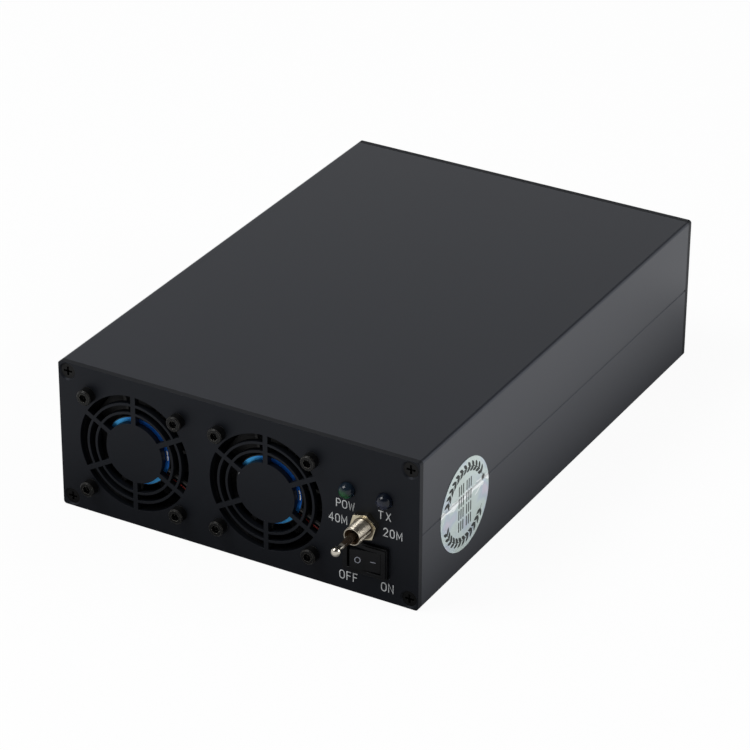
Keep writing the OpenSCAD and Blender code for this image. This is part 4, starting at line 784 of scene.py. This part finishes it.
def threaded(node, pitch, depth, first, last):
    """The node's own shape with vee grooves round its barrel.

    The grooves lie between two distances in front of the rear panel. All is in millimetres.
    """
    low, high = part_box(node)
    x, z = (low.x + high.x) / 2, (low.z + high.z) / 2
    barrel = max(Vector((v.co.x - x, v.co.z - z)).length
                 for v in solids[node].data.vertices if v.co.y > high.y - 1.0 * MM)
    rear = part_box("rear_panel")[1].y

    def build(bm):
        bm.from_mesh(solids[node].data)
        bmesh.ops.remove_doubles(bm, verts=bm.verts, dist=0.0005 * MM)
        for k in range(int((last - first) / pitch * 2) + 1):
            y = rear + (first + k * pitch / 2) * MM
            everything = bm.verts[:] + bm.edges[:] + bm.faces[:]
            bmesh.ops.bisect_plane(bm, geom=everything, plane_co=(0, y, 0), plane_no=(0, 1, 0))
            if k % 2:
                for vert in bm.verts:
                    out = Vector((vert.co.x - x, 0, vert.co.z - z))
                    if abs(vert.co.y - y) < 0.001 * MM and out.length > barrel - 0.1 * MM:
                        vert.co -= out.normalized() * depth * MM

    new = piece(node + "_threaded", build, FINISHES["socket_nickel"], "case")
    new.data.set_sharp_from_angle(angle=math.radians(30))
    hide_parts(node)


threaded("rf_input_socket", 1.058, 0.45, 3.0, 12.8)
threaded("rf_output_socket", 1.058, 0.45, 3.0, 12.8)
threaded("dc_inlet", 1.0, 0.4, 2.4, 8.0)


# ---------------------------------------------------------------- inside the lamps

# The anvil and the thinner post: offset, half width, half depth, place of the tip behind the
# lens's front, and half width at the tip, in millimetres
LAMP_TOWERS = ((0.55, 0.3, 0.3, 3.1, 0.95), (-1.0, 0.25, 0.25, 2.8, 0.5))
TOWER_BASE = 7.0
# Reflector cup, a short cone open to the front: radius and place behind the lens's front
LAMP_CUP = ((0.95, 3.12), (1.0, 2.35), (0.86, 2.3), (0.42, 2.95), (0.05, 3.0))
CUP_OFFSET = 0.45
CUP_STEPS = 28


def lamp_frame(bm, node):
    """Lead frame inside a lamp's lens."""
    low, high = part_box(node)
    front = Vector(((low.x + high.x) / 2, low.y, (low.z + high.z) / 2))
    for offset, half_x, half_z, tip, tip_half in LAMP_TOWERS:
        levels = ((half_x, TOWER_BASE, half_z), (half_x, (TOWER_BASE + tip) / 2, half_z),
                  (tip_half, tip, half_z * 1.2))
        made = grid(bm, [[front + Vector((offset + sx * wide, y, sz * deep)) * MM
                          for sx, sz in ((-1, -1), (1, -1), (1, 1), (-1, 1))]
                         for wide, y, deep in levels])
        for ends in (made[0], made[-1]):
            bm.faces.new(ends)
    grid(bm, [circle(front + Vector((CUP_OFFSET, y, 0)) * MM, r * MM, CUP_STEPS)
              for r, y in LAMP_CUP])


for node, glow in (
    ("power_lamp", plated("green_tinted_silver", "1f6a3c", "0e3a20", 0.4)),
    ("transmit_lamp", plated("silvered_lead_frame", "4a5068", "23283a", 0.35)),
):
    piece(node + "_frame", lambda bm: lamp_frame(bm, node), glow, "case")


# ---------------------------------------------------------------- print on the seal

LAUREL_RADIUS = 11.9 * MM
LAUREL_BRANCHES = ((26, 158), (202, 334))
LEAF_PAIRS = 12
LEAF_LENGTH = 2.75 * MM
LEAF_HALF = 0.62 * MM
LEAF_RIM_LIFT = 0.004 * MM
# Shares of a leaf's length, and of its half width there
LEAF_SHAPE = ((0, 0.05), (0.25, 0.8), (0.55, 1), (0.8, 0.6), (1, 0.04))
BAR_COLUMNS = (-2.4, 2.4)
BAR_ROWS = 4
BAR_PITCH = 4.1
BAR_HALF = 1.45
BAR_STROKE = 0.62 * MM
BARS = (-1.3, 0, 1.3)


def on_seal(u, v, h):
    """World place of a point on the seal: u towards the rear, v up, h out of the side wall."""
    return Vector((seal_high.x + h, seal_centre.y + u, seal_centre.z + v))


def leaf(bm, root, way):
    """One leaf from its root on the branch, with a ridge along its middle."""
    side = Vector((-way.y, way.x))
    rim = [(root + way * t * LEAF_LENGTH, w * LEAF_HALF) for t, w in LEAF_SHAPE]
    edges = [[on_seal(*(p + side * w * s), LEAF_RIM_LIFT) for p, w in rim] for s in (1, -1)]
    ridge = [on_seal(*p, INK_LIFT) for p, w in rim]
    grid(bm, [edges[0], ridge, edges[1]], False)


def seal_print(bm):
    """Plain laurel of paired leaves in two branches, open at the seam, round rows of bars."""
    for first, last in LAUREL_BRANCHES:
        branch = arc(0, 0, LAUREL_RADIUS, LAUREL_RADIUS, first, last, 40)
        strokes(bm, [branch], FINE_STROKE, on_seal)
        for k in range(LEAF_PAIRS):
            a = math.radians(first + (last - first) * (k + 0.4) / LEAF_PAIRS)
            outward = Vector((math.cos(a), math.sin(a)))
            onward = Vector((-math.sin(a), math.cos(a))) * (1 if first < 90 else -1)
            for s in (1, -1):
                way = (onward * 0.86 + outward * s * 0.62).normalized()
                leaf(bm, outward * LAUREL_RADIUS, way)
    for column in BAR_COLUMNS:
        for row in range(BAR_ROWS):
            v = (row - (BAR_ROWS - 1) / 2) * BAR_PITCH
            strokes(bm, [[((column + d) * MM, (v + end) * MM) for end in (-BAR_HALF, BAR_HALF)]
                         for d in BARS], BAR_STROKE, on_seal)


piece("seal_print", seal_print, printed_ink("dark_green_seal_ink", "121c1a"),
      "case")


# ---------------------------------------------------------------- stage, light and background

def background_white(tree, shader, seen_share, mirrored_level):
    """Mixes white into what the camera sees of a surface.

    Reflections and glass see a white of their own level.
    """
    path = add(tree, "ShaderNodeLightPath")
    mirrored = add(tree, "ShaderNodeMath", {"operation": "MAXIMUM"}, {
        0: path.outputs["Is Glossy Ray"], 1: path.outputs["Is Transmission Ray"]})
    amount = add(tree, "ShaderNodeMath", {"operation": "MULTIPLY_ADD"}, {
        0: path.outputs["Is Camera Ray"], 1: seen_share, 2: mirrored.outputs["Value"]})
    level = add(tree, "ShaderNodeMapRange", None, {
        "Value": path.outputs["Is Camera Ray"], "To Min": mirrored_level, "To Max": 1.0})
    white = add(tree, "ShaderNodeEmission", None, {
        "Color": (1, 1, 1, 1), "Strength": level.outputs["Result"]})
    mixed = add(tree, "ShaderNodeMixShader", None, {
        0: amount.outputs["Value"], 1: shader, 2: white.outputs["Emission"]})
    return mixed.outputs["Shader"]


FLOOR_HALF = 4
FLOOR_DROP = 0.2 * MM

floor_paper, tree, shader, place = finish(
    "white_backdrop_paper", "f4f4f4", 0.0, 0.9, Specular_IOR_Level=0.0)
mottle(tree, shader, place, "f2f2f2", "f6f6f6", 60)
# Painted shadow: reflections see the paper darker close to the object, standing in for its shadow
# there.
half_size = (cad_box[1] - cad_box[0]) / 2
from_middle = add(tree, "ShaderNodeVectorMath", {"operation": "ABSOLUTE"}, {0: place})
beyond = add(tree, "ShaderNodeVectorMath", {"operation": "SUBTRACT"}, {
    0: from_middle.outputs["Vector"], 1: half_size})
outside = add(tree, "ShaderNodeSeparateXYZ", None, {"Vector": beyond.outputs["Vector"]})
reach = add(tree, "ShaderNodeMath", {"operation": "MAXIMUM"}, {
    0: outside.outputs["X"], 1: outside.outputs["Y"]})
shade = add(tree, "ShaderNodeMapRange", None, {
    "Value": reach.outputs["Value"], "From Min": 0.0, "From Max": 35 * MM,
    "To Min": 0.22, "To Max": 0.95})
tree.links.new(background_white(tree, shader.outputs["BSDF"], 0.94, shade.outputs["Result"]),
               tree.nodes["Material Output"].inputs["Surface"])
floor_mesh = mesh_of("floor", lambda bm: grid(bm, [
    [Vector((x * FLOOR_HALF, y * FLOOR_HALF, -FLOOR_DROP)) for x in (-1, 0, 1)]
    for y in (-1, 0, 1)], False))
floor = bpy.data.objects.new("floor", floor_mesh)
bpy.context.scene.collection.objects.link(floor)
floor_mesh.materials.append(floor_paper)

world = bpy.data.worlds.new("studio")
bpy.context.scene.world = world
world.use_nodes = True
tree = world.node_tree
soft_fill = tree.nodes["Background"]
soft_fill.inputs["Color"].default_value = colour("e8eaee")
soft_fill.inputs["Strength"].default_value = 0.32
# What the top of the case mirrors: white at the horizon, and a dimmer ceiling above it
upward = add(tree, "ShaderNodeSeparateXYZ", None, {
    "Vector": add(tree, "ShaderNodeTexCoord").outputs["Generated"]})
pale = add(tree, "ShaderNodeMapRange", None, {
    "Value": upward.outputs["Z"], "From Min": 0.25, "From Max": 0.56,
    "To Min": 1.0, "To Max": 0.08})
white_world = background_white(tree, soft_fill.outputs["Background"], 1.0, pale.outputs["Result"])
tree.links.new(white_world, tree.nodes["World Output"].inputs["Surface"])

AIM = Vector((0, 0, 0.02))


def softbox(name, place, size, power):
    """Square area light that faces the object."""
    light = bpy.data.lights.new(name, "AREA")
    light.size = size
    light.energy = power
    lamp = bpy.data.objects.new(name, light)
    bpy.context.scene.collection.objects.link(lamp)
    lamp.location = place
    lamp.rotation_euler = (AIM - Vector(place)).to_track_quat("-Z", "Y").to_euler()


softbox("key", (-0.7, -0.6, 1.3), 0.8, 16)
softbox("side", (1.4, 0.5, 0.7), 0.9, 12)
